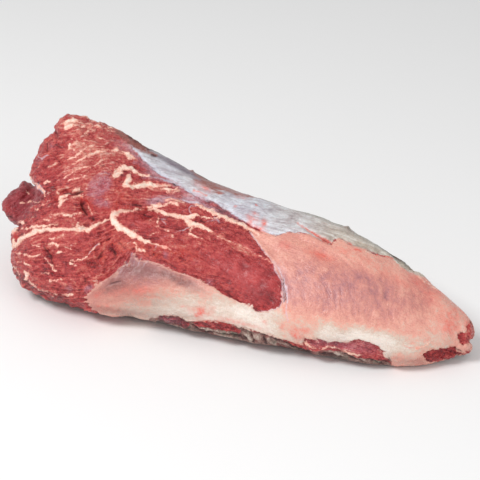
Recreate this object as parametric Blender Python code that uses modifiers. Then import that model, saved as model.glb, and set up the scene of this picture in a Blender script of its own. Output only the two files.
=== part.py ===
"""A raw beef mock tender: the boneless cone-shaped shoulder muscle, laid down on its flat underside.

Units are metres, +Z is up and +X runs from the thick cut end to the thin tip.
The show side, with its bare red muscle and its coat of fat, faces -Y.
The piece is one solid: a body drawn out from a cage, its muscles and clefts carved as relief,
with a loose flap, a lip of fat and a shred fused on.
"""

import math

import bmesh
import bpy
import numpy as np
from mathutils import Matrix, Vector, noise
from mathutils.bvhtree import BVHTree

MM = 0.001

# --- the body --------------------------------------------------------------

# The outline of the piece, station by station from the cut end to the tip, in millimetres:
# place along X, front edge (Y), back edge (Y), underside (Z) and ridge (Z).
STATIONS = (
    (-145, -19, 38, 2, 84),
    (-137, -35, 46, -1, 97),
    (-120, -47, 50, -3, 99),
    (-97, -53, 51, -3, 93.5),
    (-76, -54, 50, -3, 85),
    (-50, -50, 47, -3, 75),
    (-20, -47, 44, -3, 68),
    (20, -45, 41, -3, 65),
    (58, -42, 37, -3, 60),
    (88, -39, 31, -3, 50),
    (112, -31, 23, -2, 39),
    (132, -18, 14, 2, 30),
    (146, -7, 6, 8, 21.5),
)
ROUNDNESS_ABOVE = 2.2  # exponent of the section's upper half: 2 is an ellipse, more is squarer
ROUNDNESS_BELOW = 3.0
TOP_NARROWING = 0.14  # how much narrower the section is at the ridge than at half height
LEAN_BACK = 0.40  # how far the ridge lies behind the middle, as a share of the half width
END_SLANT = 0.22  # how far the cut end leans in towards its top, per unit of height
SLANT_REACH = 0.45  # the share of the length over which that slant fades out
RIM_CREASE = 0.55  # 1 would leave the rim of the cut end as a knife edge
RIM_STARTS_AT = 0.99  # on the square cage, whose faces lie at -1 and 1
CAGE_ALONG = 18
CAGE_AROUND_SIDE = 4
SUBDIVISIONS = 3

# --- the relief ------------------------------------------------------------

# Clefts and seams between the muscles, in millimetres:
# half width, depth, then the points (X, Y, Z) that the line passes through.
GROOVES = {
    "seam under the middle muscle": (4.2, 2.6, ((-134, -36, 38), (-119, -41, 51), (-101, -41, 58),
                                                (-82, -39, 60), (-70, -29, 66), (-54, -15, 69))),
    "deep cleft": (4.2, 4.8, ((-113, -27, 73), (-100, -28, 76), (-91, -25, 77), (-86, -30, 71), (-77, -31, 67))),
    "cleft near the top": (3.8, 3.2, ((-124, -5, 89), (-112, -14, 87))),
    "cleft near the bottom": (4.0, 2.8, ((-108, -46, 46), (-99, -50, 35))),
    "upper edge of the oval muscle": (4.2, 2.0, ((-54, -16, 69), (-28, -12, 63), (3, -16, 57), (16, -20, 54))),
    "lower edge of the oval muscle": (4.4, 2.4, ((-62, -44, 40), (-53, -41, 46), (-32, -38, 44), (-6, -40, 38),
                                                 (17, -42, 31), (34, -39, 32))),
    "right edge of the oval muscle": (4.2, 2.2, ((34, -39, 32), (39, -32, 41), (27, -16, 56), (8, -6, 62))),
    "bare patch by the middle": (5.5, 2.4, ((-29, -46, 14), (-7, -45, 14), (18, -44, 14))),
    "bare patch before the tip": (5.5, 2.8, ((60, -41, 14), (80, -38, 17), (101, -34, 12))),
    "bare patch under the tip": (5.0, 2.2, ((124, -24, 9), (139, -12, 12))),
    "slit in the silverskin": (3.4, 1.6, ((40, -6, 64), (60, -10, 58))),
    "valley behind the ridge": (9, 3.0, ((-120, 56, 66), (-60, 56, 52), (10, 50, 44), (70, 44, 34))),
}
# The valley that parts the two muscle heads across the cut end, pushed in along X.
END_VALLEY = ((-118, -42, 68), (-134, -24, 62), (-144, 0, 58), (-148, 36, 48))
END_VALLEY_HALF_WIDTH = 13 * MM
END_VALLEY_DEPTH = 9 * MM
# Swells and hollows, in millimetres: centre (X, Y, Z), radius and height; a hollow's height is negative.
SWELLS = {
    "upper muscle": ((-104, -8, 92), 28, 2.5),
    "corner of the cut end": ((-128, 26, 99), 15, 5.0),
    "upper muscle at the rim": ((-138, -8, 74), 15, 2.0),
    "middle muscle": ((-100, -35, 68), 17, 3.0),
    "lower muscle": ((-116, -46, 34), 24, 2.0),
    "torn hollow": ((-68, -42, 51), 15, -5.5),
    "oval muscle": ((-4, -30, 48), 34, 3.0),
    "shoulder of the fat": ((75, -30, 38), 36, 1.5),
    "root of the flap": ((-150, 14, 36), 20, 8.0),
    "bare end of the tip": ((141, -8, 18), 8, -2.0),
}
UNEVEN_DEPTH = 0.7  # how much a groove's depth wanders along it
WANDERS_PER_LUMP = 2
LUMP_SIZE = 24 * MM
LUMP_HEIGHT = 1.5 * MM
SMALL_LUMPS_PER_LUMP = 2.3
SMALL_LUMP_SHARE = 0.5  # their height, as a share of the large lumps'
TATTER_SIZE = 7 * MM  # tatters along the lower front edge
TATTER_STRETCH = 2  # how much taller and deeper than wide they are
TATTER_HEIGHT = 2.6 * MM
TATTER_BAND = 9 * MM
REST_BAND = 7 * MM  # relief fades out over this height above the face that the piece rests on
FINISHED_TRIANGLES = 10600
SHORTEST_EDGE = 0.1 * MM

# --- the bits fused on -----------------------------------------------------

FLAP_CENTRE = (-153, 13, 38)
FLAP_RADII = (14, 19, 12.5)
FLAP_HEADING = math.radians(12)
LIP_CENTRE = (133, -5, 5.2)
LIP_RADII = (17, 7, 2.0)
LIP_HEADING = math.radians(45)
BIT_UNEVENNESS = 0.16  # as a share of the radius
BIT_LUMPS = 1.7  # lumps to one radius
BIT_SUBDIVISIONS = 3
SHRED_FOOT = (143, -2, 15)
SHRED_LENGTH = 9
SHRED_RADIUS = 1.3
SHRED_TAPER = 3  # its foot is this many times thicker than its end
SHRED_SIDES = 8
SHRED_TILT = math.radians(112)

MEAT_COLOUR = (0.56, 0.17, 0.14, 1.0)
MEAT_ROUGHNESS = 0.42


def stations(column):
    """One column of the outline, in metres."""
    return np.array([row[column] for row in STATIONS]) * MM


def smooth_curve(x, knots, values):
    """A smooth curve through the knots: cubic pieces whose slopes are the mean of their neighbours'."""
    slopes = np.gradient(values, knots)
    i = int(np.clip(np.searchsorted(knots, x) - 1, 0, len(knots) - 2))
    width = knots[i + 1] - knots[i]
    t = (x - knots[i]) / width
    start = (1 + 2 * t) * (1 - t) ** 2 * values[i] + t * (1 - t) ** 2 * width * slopes[i]
    end = t * t * (3 - 2 * t) * values[i + 1] + t * t * (t - 1) * width * slopes[i + 1]
    return start + end


ALONG, FRONT, BACK, UNDER, RIDGE = (stations(column) for column in range(5))


def section_point(x, across, up):
    """Places a point of the square section (across and up from -1 to 1) on the rounded section at x."""
    front, back, under, ridge = (smooth_curve(x, ALONG, edge) for edge in (FRONT, BACK, UNDER, RIDGE))
    disc_across = across * math.sqrt(1 - up * up / 2)
    disc_up = up * math.sqrt(1 - across * across / 2)
    angle = math.atan2(disc_up, disc_across)
    power = ROUNDNESS_ABOVE if up > 0 else ROUNDNESS_BELOW
    reach = (abs(math.cos(angle)) ** power + abs(math.sin(angle)) ** power) ** (-1 / power)
    y_share = disc_across * reach
    z_share = disc_up * reach
    lean = LEAN_BACK * ((z_share + 1) / 2) ** 2
    half_width = (back - front) / 2
    y = (front + back) / 2 + half_width * (y_share * (1 - TOP_NARROWING * z_share) + lean)
    z = (under + ridge) / 2 + (ridge - under) / 2 * z_share
    from_end = (x - ALONG[0]) / (ALONG[-1] - ALONG[0])
    slant = END_SLANT * max(0, 1 - from_end / SLANT_REACH) ** 2
    return Vector((x + slant * (z - (under + ridge) / 2), y, z))


def on_end_rim(edge):
    """Whether an edge of the square cage runs round the rim of the cut end."""
    def at_rim(co):
        return co.x < -RIM_STARTS_AT and max(abs(co.y), abs(co.z)) > RIM_STARTS_AT
    middle = (edge.verts[0].co + edge.verts[1].co) / 2
    return at_rim(edge.verts[0].co) and at_rim(edge.verts[1].co) and at_rim(middle)


def make_cage():
    """A box cut into rows and columns, then drawn out to the outline of the piece."""
    cage = bmesh.new()
    bmesh.ops.create_cube(cage, size=2)
    for axis, parts in ((0, CAGE_ALONG), (1, CAGE_AROUND_SIDE), (2, CAGE_AROUND_SIDE)):
        normal = Vector((0, 0, 0))
        normal[axis] = 1
        for cut in range(1, parts):
            geometry = cage.verts[:] + cage.edges[:] + cage.faces[:]
            place = normal * (2 * cut / parts - 1)
            bmesh.ops.bisect_plane(cage, geom=geometry, plane_co=place, plane_no=normal)
    crease = cage.edges.layers.float.new("crease_edge")
    for edge in cage.edges:
        edge[crease] = RIM_CREASE if on_end_rim(edge) else 0
    start, end = ALONG[0], ALONG[-1]
    for vert in cage.verts:
        x = start + (end - start) * (vert.co.x + 1) / 2
        vert.co = section_point(x, vert.co.y, vert.co.z)
    return cage


def finished_mesh(obj):
    """The object's mesh with its modifiers applied."""
    evaluated = obj.evaluated_get(bpy.context.evaluated_depsgraph_get())
    return bpy.data.meshes.new_from_object(evaluated)


def distance_to_line(point, line):
    """How far a point is from the nearest of a line's straight pieces."""
    nearest = math.inf
    for start, end in zip(line, line[1:]):
        run = end - start
        share = max(0, min(1, (point - start).dot(run) / run.length_squared))
        nearest = min(nearest, (point - start - run * share).length)
    return nearest


def bell(distance, radius):
    """1 at no distance, falling smoothly away over about one radius."""
    return math.exp(-((distance / radius) ** 2))


def lumps(point):
    """The gentle unevenness of soft meat, from -1 to 1."""
    small = noise.noise(point / LUMP_SIZE * SMALL_LUMPS_PER_LUMP)
    return noise.noise(point / LUMP_SIZE) + SMALL_LUMP_SHARE * small


def tatters(point, facing):
    """The ragged skirt of trimmings along the lower front edge."""
    band = bell(point.z - REST_BAND, TATTER_BAND) * max(0, -facing.y)
    place = point / TATTER_SIZE
    place.y /= TATTER_STRETCH
    place.z /= TATTER_STRETCH
    return band * noise.noise(place)


def carve_relief(mesh):
    """Moves the surface along its normals: muscles swell, and clefts and seams sink between them."""
    shape = bmesh.new()
    shape.from_mesh(mesh)
    shape.normal_update()
    surface = BVHTree.FromBMesh(shape)

    def on_surface(place):
        return surface.find_nearest(Vector(place) * MM)[0]

    grooves = [(half_width * MM, depth * MM, [on_surface(place) for place in places])
               for half_width, depth, places in GROOVES.values()]
    swells = [(on_surface(centre), radius * MM, height * MM) for centre, radius, height in SWELLS.values()]
    end_valley = [on_surface(place) for place in END_VALLEY]
    normals = [vert.normal.copy() for vert in shape.verts]
    for vert, facing in zip(shape.verts, normals):
        point = vert.co.copy()
        wander = 1 + UNEVEN_DEPTH * noise.noise(point / LUMP_SIZE * WANDERS_PER_LUMP)
        lift = LUMP_HEIGHT * lumps(point) + TATTER_HEIGHT * tatters(point, facing)
        lift += sum(height * bell((point - centre).length, radius) for centre, radius, height in swells)
        lift -= wander * sum(depth * bell(distance_to_line(point, line), width) for width, depth, line in grooves)
        rise = min(1, max(0, point.z / REST_BAND))
        vert.co = point + facing * lift * rise * rise * (3 - 2 * rise)
        vert.co.x += END_VALLEY_DEPTH * bell(distance_to_line(point, end_valley), END_VALLEY_HALF_WIDTH)
    shape.to_mesh(mesh)
    shape.free()


def rest_on_flat(mesh):
    """Flattens what would reach below Z = 0, as the soft underside does on a table."""
    for vert in mesh.vertices:
        vert.co.z = max(0, vert.co.z)


def make_ellipsoid(name, centre, radii, heading):
    """An uneven ellipsoid, in millimetres, turned about Z."""
    shape = bmesh.new()
    bmesh.ops.create_icosphere(shape, subdivisions=BIT_SUBDIVISIONS, radius=1)
    place = Matrix.Translation(Vector(centre) * MM) @ Matrix.Rotation(heading, 4, "Z")
    for vert in shape.verts:
        swell = 1 + BIT_UNEVENNESS * noise.noise(vert.co * BIT_LUMPS)
        vert.co = place @ Vector([co * radius * MM * swell for co, radius in zip(vert.co, radii)])
    return make_object(name, shape)


def make_shred():
    """The thin thread of meat that curls off the tip."""
    shape = bmesh.new()
    lean = Matrix.Translation(Vector(SHRED_FOOT) * MM) @ Matrix.Rotation(SHRED_TILT, 4, "Y")
    thick, thin = SHRED_RADIUS * MM, SHRED_RADIUS * MM / SHRED_TAPER
    bmesh.ops.create_cone(shape, cap_ends=True, segments=SHRED_SIDES, radius1=thick, radius2=thin,
                          depth=SHRED_LENGTH * MM, matrix=lean)
    return make_object("shred", shape)


def make_object(name, shape):
    """Turns a finished bmesh into an object."""
    mesh = bpy.data.meshes.new(name)
    shape.to_mesh(mesh)
    shape.free()
    return bpy.data.objects.new(name, mesh)


def fuse(body, bits):
    """Joins the bits to the body in one Boolean union, and clears them away."""
    helpers = bpy.data.collections.new("fused_bits")
    bpy.context.scene.collection.children.link(helpers)
    for bit in bits:
        helpers.objects.link(bit)
    union = body.modifiers.new("fuse", "BOOLEAN")
    union.operation = "UNION"
    union.operand_type = "COLLECTION"
    union.collection = helpers
    union.solver = "EXACT"
    body.data = finished_mesh(body)
    body.modifiers.clear()
    for bit in bits:
        bpy.data.objects.remove(bit)
    bpy.data.collections.remove(helpers)


def weld_slivers(mesh):
    """Closes up the shortest edges, which the union leaves where two surfaces cross at a shallow angle."""
    shape = bmesh.new()
    shape.from_mesh(mesh)
    bmesh.ops.dissolve_degenerate(shape, dist=SHORTEST_EDGE, edges=shape.edges[:])
    bmesh.ops.triangulate(shape, faces=shape.faces[:])
    shape.to_mesh(mesh)
    shape.free()


def thin_out(body):
    """Keeps the triangles where the relief needs them, and few of them where the meat is smooth."""
    body.data.calc_loop_triangles()
    thin = body.modifiers.new("thin_out", "DECIMATE")
    thin.ratio = FINISHED_TRIANGLES / len(body.data.loop_triangles)
    body.data = finished_mesh(body)
    body.modifiers.clear()


def centre_on_floor(mesh):
    """Puts the origin under the middle of the piece, on the face that it rests on."""
    corners = np.array([vert.co for vert in mesh.vertices])
    low, high = corners.min(axis=0), corners.max(axis=0)
    mesh.transform(Matrix.Translation((-(low[0] + high[0]) / 2, -(low[1] + high[1]) / 2, -low[2])))


def make_material():
    """Raw beef, moist and dull red."""
    material = bpy.data.materials.new("raw_meat")
    material.use_nodes = True
    shader = material.node_tree.nodes["Principled BSDF"]
    shader.inputs["Base Color"].default_value = MEAT_COLOUR
    shader.inputs["Roughness"].default_value = MEAT_ROUGHNESS
    shader.inputs["Metallic"].default_value = 0.0
    return material


def main():
    for obj in list(bpy.data.objects):
        bpy.data.objects.remove(obj)
    collection = bpy.data.collections.new("raw_beef_mock_tender")
    bpy.context.scene.collection.children.link(collection)
    meat = make_object("beef_mock_tender", make_cage())
    collection.objects.link(meat)
    soften = meat.modifiers.new("soften", "SUBSURF")
    soften.levels = soften.render_levels = SUBDIVISIONS
    meat.data = finished_mesh(meat)
    meat.modifiers.clear()
    carve_relief(meat.data)
    flap = make_ellipsoid("flap", FLAP_CENTRE, FLAP_RADII, FLAP_HEADING)
    lip = make_ellipsoid("lip", LIP_CENTRE, LIP_RADII, LIP_HEADING)
    fuse(meat, [flap, lip, make_shred()])
    rest_on_flat(meat.data)
    thin_out(meat)
    weld_slivers(meat.data)
    centre_on_floor(meat.data)
    meat.data.shade_smooth()
    meat.data.materials.clear()
    meat.data.materials.append(make_material())


main()
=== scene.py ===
# %% [markdown]
# # Dressing a raw beef mock tender
#
# The solid of the meat comes ready made: one closed body with the right outline, its main clefts and its
# flat underside. This lesson gives it its looks. A real mock tender has no separate parts to model. What
# the eye reads is a skin of different tissues: red muscle with combed fibres, cream fat, pink fascia and
# blue-white silverskin. So the way chosen here is to make one fine mesh, to draw each tissue on it as named
# strokes and areas, and to let those same drawings raise the relief and steer the colours.

# %% Load the solid
import math

import bmesh
import bpy
import numpy as np
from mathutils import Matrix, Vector, noise


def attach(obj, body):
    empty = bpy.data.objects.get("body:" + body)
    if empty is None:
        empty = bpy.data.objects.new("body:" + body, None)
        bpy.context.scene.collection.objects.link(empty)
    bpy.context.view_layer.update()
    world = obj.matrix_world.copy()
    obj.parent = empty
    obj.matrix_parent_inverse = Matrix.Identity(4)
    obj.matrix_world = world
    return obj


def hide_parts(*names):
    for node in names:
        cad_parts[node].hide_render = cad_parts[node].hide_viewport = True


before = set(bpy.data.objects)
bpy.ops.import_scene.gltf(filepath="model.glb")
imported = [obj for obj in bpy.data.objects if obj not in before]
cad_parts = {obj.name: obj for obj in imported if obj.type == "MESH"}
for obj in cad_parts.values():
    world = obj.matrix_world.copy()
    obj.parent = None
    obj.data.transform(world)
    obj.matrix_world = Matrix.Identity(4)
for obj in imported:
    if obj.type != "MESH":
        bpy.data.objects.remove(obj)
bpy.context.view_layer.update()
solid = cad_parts["beef_mock_tender"]

# %% [markdown]
# ## The camera comes first
#
# Every stroke below is placed by its pixel in a 480 x 480 picture, so the camera has to be known before
# anything is drawn. It looks at the show side from 22 degrees round towards the tip and 28 degrees above.
# The same numbers make Blender's camera and a small function that tells in which pixel a point of the meat
# is seen.

# %% Camera
MM = 0.001
PICTURE_SIZE = 480.0
LENS = 120.0
SENSOR = 36.0
CAMERA_AZIMUTH = math.radians(22)
CAMERA_ELEVATION = math.radians(28)
CAMERA_DISTANCE = 0.96
CAMERA_TARGET = Vector((0.01019, -0.00187, 0.0503))
PIXELS_PER_SLOPE = LENS / SENSOR * PICTURE_SIZE

TOWARDS_CAMERA = Vector((
    math.sin(CAMERA_AZIMUTH) * math.cos(CAMERA_ELEVATION),
    -math.cos(CAMERA_AZIMUTH) * math.cos(CAMERA_ELEVATION),
    math.sin(CAMERA_ELEVATION),
))
PICTURE_RIGHT = Vector((math.cos(CAMERA_AZIMUTH), math.sin(CAMERA_AZIMUTH), 0.0))
PICTURE_UP = TOWARDS_CAMERA.cross(PICTURE_RIGHT)
CAMERA_PLACE = CAMERA_TARGET + CAMERA_DISTANCE * TOWARDS_CAMERA

camera_data = bpy.data.cameras.new("camera")
camera_data.lens = LENS
camera_data.sensor_width = SENSOR
camera = bpy.data.objects.new("camera", camera_data)
camera.location = CAMERA_PLACE
camera.rotation_mode = "QUATERNION"
camera.rotation_quaternion = (-TOWARDS_CAMERA).to_track_quat("-Z", "Y")
bpy.context.scene.collection.objects.link(camera)
bpy.context.scene.camera = camera


def in_picture(points):
    """The pixel, x to the right and y down, in which each point is seen."""
    away = points - np.array(CAMERA_PLACE)
    depth = -away @ np.array(TOWARDS_CAMERA)
    x = PICTURE_SIZE / 2 + PIXELS_PER_SLOPE * (away @ np.array(PICTURE_RIGHT)) / depth
    y = PICTURE_SIZE / 2 - PIXELS_PER_SLOPE * (away @ np.array(PICTURE_UP)) / depth
    return np.column_stack((x, y))


print("a pixel is", round(CAMERA_DISTANCE / PIXELS_PER_SLOPE / MM, 2), "mm on the meat")

# %% [markdown]
# ## One fine mesh
#
# The solid has large flat triangles, made for weight and collision. Its copy is rounded by one step of
# subdivision and then remeshed into even squares, so that every later step finds points wherever it needs
# them. The show side carries the finest drawing, so its squares are split once more, and the back and the
# underside stay coarser. That comes to about 300,000 triangles, half as many again as the 200,000 that a
# piece should stay under. A larger square would bring it down, and would make the edges between the tissues
# coarser.

# %% Copy, round and remesh
SQUARE = 1.36 * MM
MERGE_DISTANCE = 0.01 * MM
SHOW_SIDE_LEAN = -0.06
SMOOTH_STEPS_COARSE = 3
SMOOTH_STEPS_FINE = 2
SMOOTHING = 0.5


def rounded_copy(source, name):
    """A copy of source as even squares, with its flat facets rounded off."""
    mesh = source.data.copy()
    shell = bmesh.new()
    shell.from_mesh(mesh)
    bmesh.ops.remove_doubles(shell, verts=shell.verts, dist=MERGE_DISTANCE)
    shell.to_mesh(mesh)
    shell.free()
    mesh.materials.clear()
    piece = bpy.data.objects.new(name, mesh)
    bpy.context.scene.collection.objects.link(piece)
    rounding = piece.modifiers.new("rounding", "SUBSURF")
    rounding.levels = 1
    rounding.render_levels = 1
    squares = piece.modifiers.new("squares", "REMESH")
    squares.mode = "VOXEL"
    squares.voxel_size = SQUARE
    depsgraph = bpy.context.evaluated_depsgraph_get()
    piece.data = bpy.data.meshes.new_from_object(piece.evaluated_get(depsgraph))
    piece.modifiers.clear()
    bpy.data.meshes.remove(mesh)
    return piece


def smooth_out(shell, steps):
    """Evens out the small steps that remeshing and splitting leave."""
    for _ in range(steps):
        bmesh.ops.smooth_vert(shell, verts=shell.verts, factor=SMOOTHING,
                              use_axis_x=True, use_axis_y=True, use_axis_z=True)


def split_show_side(piece):
    """Splits the squares that face the camera once more."""
    shell = bmesh.new()
    shell.from_mesh(piece.data)
    smooth_out(shell, SMOOTH_STEPS_COARSE)
    shell.normal_update()
    shown = [face for face in shell.faces if face.normal.dot(TOWARDS_CAMERA) > SHOW_SIDE_LEAN]
    edges = list({edge for face in shown for edge in face.edges})
    bmesh.ops.subdivide_edges(shell, edges=edges, cuts=1, use_grid_fill=True)
    smooth_out(shell, SMOOTH_STEPS_FINE)
    shell.to_mesh(piece.data)
    shell.free()
    piece.data.shade_smooth()


meat = rounded_copy(solid, "beef_mock_tender_flesh")
split_show_side(meat)
POINT_COUNT = len(meat.data.vertices)
print("fine mesh:", POINT_COUNT, "points,", sum(len(p.vertices) - 2 for p in meat.data.polygons), "triangles")


# %% Read the points and the way they face
def read_vectors(piece, kind):
    """A vector of every point: its place, "co", or the way it faces, "normal"."""
    values = np.empty(len(piece.data.vertices) * 3)
    piece.data.vertices.foreach_get(kind, values)
    return values.reshape(-1, 3)


points = read_vectors(meat, "co")
pixels = in_picture(points)

# %% [markdown]
# ## Small pulls on the outline
#
# The solid keeps its outline simple. The real one has a sharp upper corner at the cut end, a ridge that
# bulges a little, and a nicked tip. A sculptor would use a grab brush for that, and so does this cell: each
# pull moves whatever is seen near one pixel by a few pixels, and where pulls overlap they are averaged.

# %% Pull the outline
PIXEL = CAMERA_DISTANCE / PIXELS_PER_SLOPE
PULLS = (  # x, y, reach, then the move to the right and upwards, all in pixels
    ("upper corner", 64, 118, 7, -1.0, 4.6), ("beside the corner", 54, 126, 5, -1.4, 0.0),
    ("middle of the top edge", 84, 117, 6, 0.0, -1.4), ("end of the top edge", 93, 119, 6, -1.0, -2.2),
    ("notch below the corner", 52, 131, 3.5, 2.6, -1.6),
    ("upper left edge", 44, 146, 9, -3.4, 1.6), ("left edge", 34, 164, 9, -2.6, 1.0),
    ("lower left edge", 33, 178, 7, -2.6, 1.6), ("top of the loose lobe", 26, 186, 6, -2.0, 5.0),
    ("upper lobe", 12, 192, 7, -1.0, 1.6), ("left of the lobe", 4, 208, 6, -1.4, 0.0),
    ("under the lobe", 15, 227, 4.5, 6.0, 0.5), ("foot of the cut end", 13, 280, 8, -0.5, 0.0),
    ("left edge, below", 12, 246, 10, 2.2, 0.0),
    ("ridge, first", 176, 166, 14, 0.0, 2.0), ("ridge, second", 200, 178, 13, 0.0, 1.2),
    ("ridge, third", 228, 190, 13, 0.0, 2.6), ("ridge, fourth", 246, 196, 8, 0.0, 1.6),
    ("ridge, fifth", 330, 219, 16, 0.0, -1.6), ("ridge, sixth", 356, 233, 10, 0.0, -1.6),
    ("dip above the coat", 413, 268, 6, 0.0, -3.6), ("ridge above the coat", 432, 284, 9, 0.0, -1.8),
    ("nick in the tip", 474, 342, 3.0, -5.0, 0.5), ("lip below the nick", 474, 348, 2.6, 1.5, 0.6),
    ("under the tip", 456, 360, 9, -3.0, 2.0), ("nose of the tip", 474, 332, 5, -0.4, 0.0),
    ("hem, first", 130, 320, 16, 0.0, 2.4), ("hem, second", 156, 324, 14, 0.0, 3.0),
    ("hem, third", 182, 330, 12, 0.0, 3.0), ("hem, fourth", 330, 358, 14, 0.0, 1.4),
)


def pulled(places, seen_at):
    """The places after all pulls."""
    reached = np.zeros(len(places))
    sideways = np.zeros(len(places))
    upwards = np.zeros(len(places))
    for _, x, y, reach, right, up in PULLS:
        weight = np.exp(-((seen_at - (x, y)) ** 2).sum(1) / reach ** 2)
        reached += weight
        sideways += weight * right
        upwards += weight * up
    share = PIXEL / np.maximum(reached, 1.0)
    moved = places + np.outer(sideways * share, PICTURE_RIGHT) + np.outer(upwards * share, PICTURE_UP)
    moved[:, 2] = np.maximum(moved[:, 2], 0.0)
    return moved


points = pulled(points, pixels)
meat.data.vertices.foreach_set("co", points.ravel())
meat.data.update()
pixels = in_picture(points)
normals = read_vectors(meat, "normal")
facing = normals @ np.array(TOWARDS_CAMERA)
print("the show side has", int((facing > 0).sum()), "of the points")


# %% [markdown]
# ## Noise and steps
#
# Meat is never even, so almost every value below is disturbed by smooth noise of some size. Steps are made
# soft with the usual smooth ramp, which starts and ends level.

# %% Noise and soft steps
NOISE_SHIFT = np.array((31.7, 17.3, 47.9))  # from one seed to the next
NOISE_STRETCH = 1.4  # plain noise seldom reaches -1 or 1
CRAG_BEND = 0.35
CRAG_STEEPNESS = 2.6
BEND_SEEDS = (50, 60, 70)


def bumps(places, size, seed=0):
    """Smooth noise from about -1 to 1 whose bumps are about size across."""
    shifted = places / size + seed * NOISE_SHIFT
    return np.array([noise.noise(Vector(place)) for place in shifted]) * NOISE_STRETCH


def soft_step(values, start, end):
    """0 before start, 1 after end, and smooth between."""
    share = np.clip((values - start) / (end - start), 0.0, 1.0)
    return share * share * (3.0 - 2.0 * share)


def crags(places, size, seed=0):
    """Torn noise from -1 in the pits to 1 on sharp crests that are about size apart."""
    bend = np.column_stack([bumps(places, size, seed + further) for further in BEND_SEEDS])
    bent = places + CRAG_BEND * size * bend
    return 1.0 - CRAG_STEEPNESS * np.abs(bumps(bent, size, seed))


lumps_large = bumps(points, 17 * MM, seed=1)
lumps = bumps(points, 7.5 * MM, seed=2)
lumps_small = bumps(points, 3.2 * MM, seed=3)
crag = 0.62 * crags(points, 4.4 * MM, seed=7) + 0.38 * crags(points, 2.3 * MM, seed=8)
print("lumps from", round(lumps.min(), 2), "to", round(lumps.max(), 2))

# %% [markdown]
# ## Strokes, areas and spots
#
# Three kinds of drawing are enough. A stroke is a line of points, each with the half width of the tissue
# there, all in pixels. An area is an outline. A spot is a soft oval. The first two give a depth: how many
# pixels inside the tissue a point lies, below zero outside it. A depth can be thresholded crisply, raised,
# or turned into a rim, which a plain mask can't.

# %% Depth inside strokes and areas
FAR_OUTSIDE = -12.0
STROKE_MARGIN = 14.0  # places further off stay at FAR_OUTSIDE
TINY = 1e-9  # keeps a division by nothing from failing
FAR_AWAY = 1e9
FAR_PULL = 1e-4  # how much a sample counts beyond its own reach
UNRULED = 0.5  # the value where no sample counts


def to_segment(places, start, end):
    """Distance from each place to a segment, and how far along the segment its nearest point is, 0 to 1."""
    along = end - start
    share = np.clip(((places - start) @ along) / max(along @ along, TINY), 0.0, 1.0)
    return np.hypot(*(places - start - share[:, None] * along).T), share


def near(places, drawn, margin):
    """Which places lie in the box round a drawing, with a margin."""
    return np.all((places > drawn.min(0) - margin) & (places < drawn.max(0) + margin), axis=1)


def stroke_depth(places, strokes):
    """How deep each place lies inside the strokes (x, y, half width), in pixels."""
    depth = np.full(len(places), FAR_OUTSIDE)
    for stroke in strokes:
        line = np.array(stroke, float)
        chosen = np.flatnonzero(near(places, line[:, :2], STROKE_MARGIN))
        for start, end in zip(line, line[1:]):
            distance, share = to_segment(places[chosen], start[:2], end[:2])
            inside = start[2] + (end[2] - start[2]) * share - distance
            depth[chosen] = np.maximum(depth[chosen], inside)
    return depth


def area_depth(places, outline):
    """How deep each place lies inside a closed outline, in pixels, below zero outside."""
    corners = np.array(outline, float)
    distance = np.full(len(places), FAR_AWAY)
    inside = np.zeros(len(places), bool)
    for start, end in zip(corners, np.roll(corners, -1, axis=0)):
        distance = np.minimum(distance, to_segment(places, start, end)[0])
        crossed = (start[1] > places[:, 1]) != (end[1] > places[:, 1])
        rise = end[1] - start[1] if end[1] != start[1] else TINY
        crossing = start[0] + (places[:, 1] - start[1]) * (end[0] - start[0]) / rise
        inside ^= crossed & (places[:, 0] < crossing)
    return np.where(inside, distance, -distance)


def soft_spots(places, spots):
    """Adds up soft ovals (x, y, half width, half height, turn in degrees, strength)."""
    total = np.zeros(len(places))
    for x, y, wide, high, turn, strength in spots:
        angle = math.radians(turn)
        away = places - (x, y)
        along = (away[:, 0] * math.cos(angle) + away[:, 1] * math.sin(angle)) / wide
        across = (away[:, 1] * math.cos(angle) - away[:, 0] * math.sin(angle)) / high
        total += strength * np.exp(-along ** 2 - across ** 2)
    return total


def placed_values(places, samples, reach):
    """A smooth value over the picture from a few samples (x, y, value), each ruling its own neighbourhood."""
    weights = np.full(len(places), TINY)
    total = np.full(len(places), TINY * UNRULED)
    for x, y, value in samples:
        away = (places - (x, y)) / reach
        weight = np.exp(-(away ** 2).sum(1)) + FAR_PULL / (1.0 + (away ** 2).sum(1))
        weights += weight
        total += weight * value
    return total / weights


# %% [markdown]
# Drawn lines look too smooth on meat. Before a drawing is measured, the picture is shaken a little:
# each point looks up a place that noise moves by about a pixel. Straight strokes turn into torn, knobbly
# ones that way, and their two edges wobble differently.

# %% Shake the picture
SHAKE_SIZE = 2.6 * MM
SHAKE = 0.9
SLIGHT_SHAKE = 0.35
shake = np.column_stack((bumps(points, SHAKE_SIZE, seed=4), bumps(points, SHAKE_SIZE, seed=5)))
shaken = pixels + SHAKE * shake
calm = pixels + SLIGHT_SHAKE * shake

# %% [markdown]
# ## The fat seams
#
# Between two muscles lies a seam of cream fat. The cut has opened several of them on the show side: one
# over the lower muscle, a hook round the oval muscle, an arch above it, and many fine marbling lines.

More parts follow.
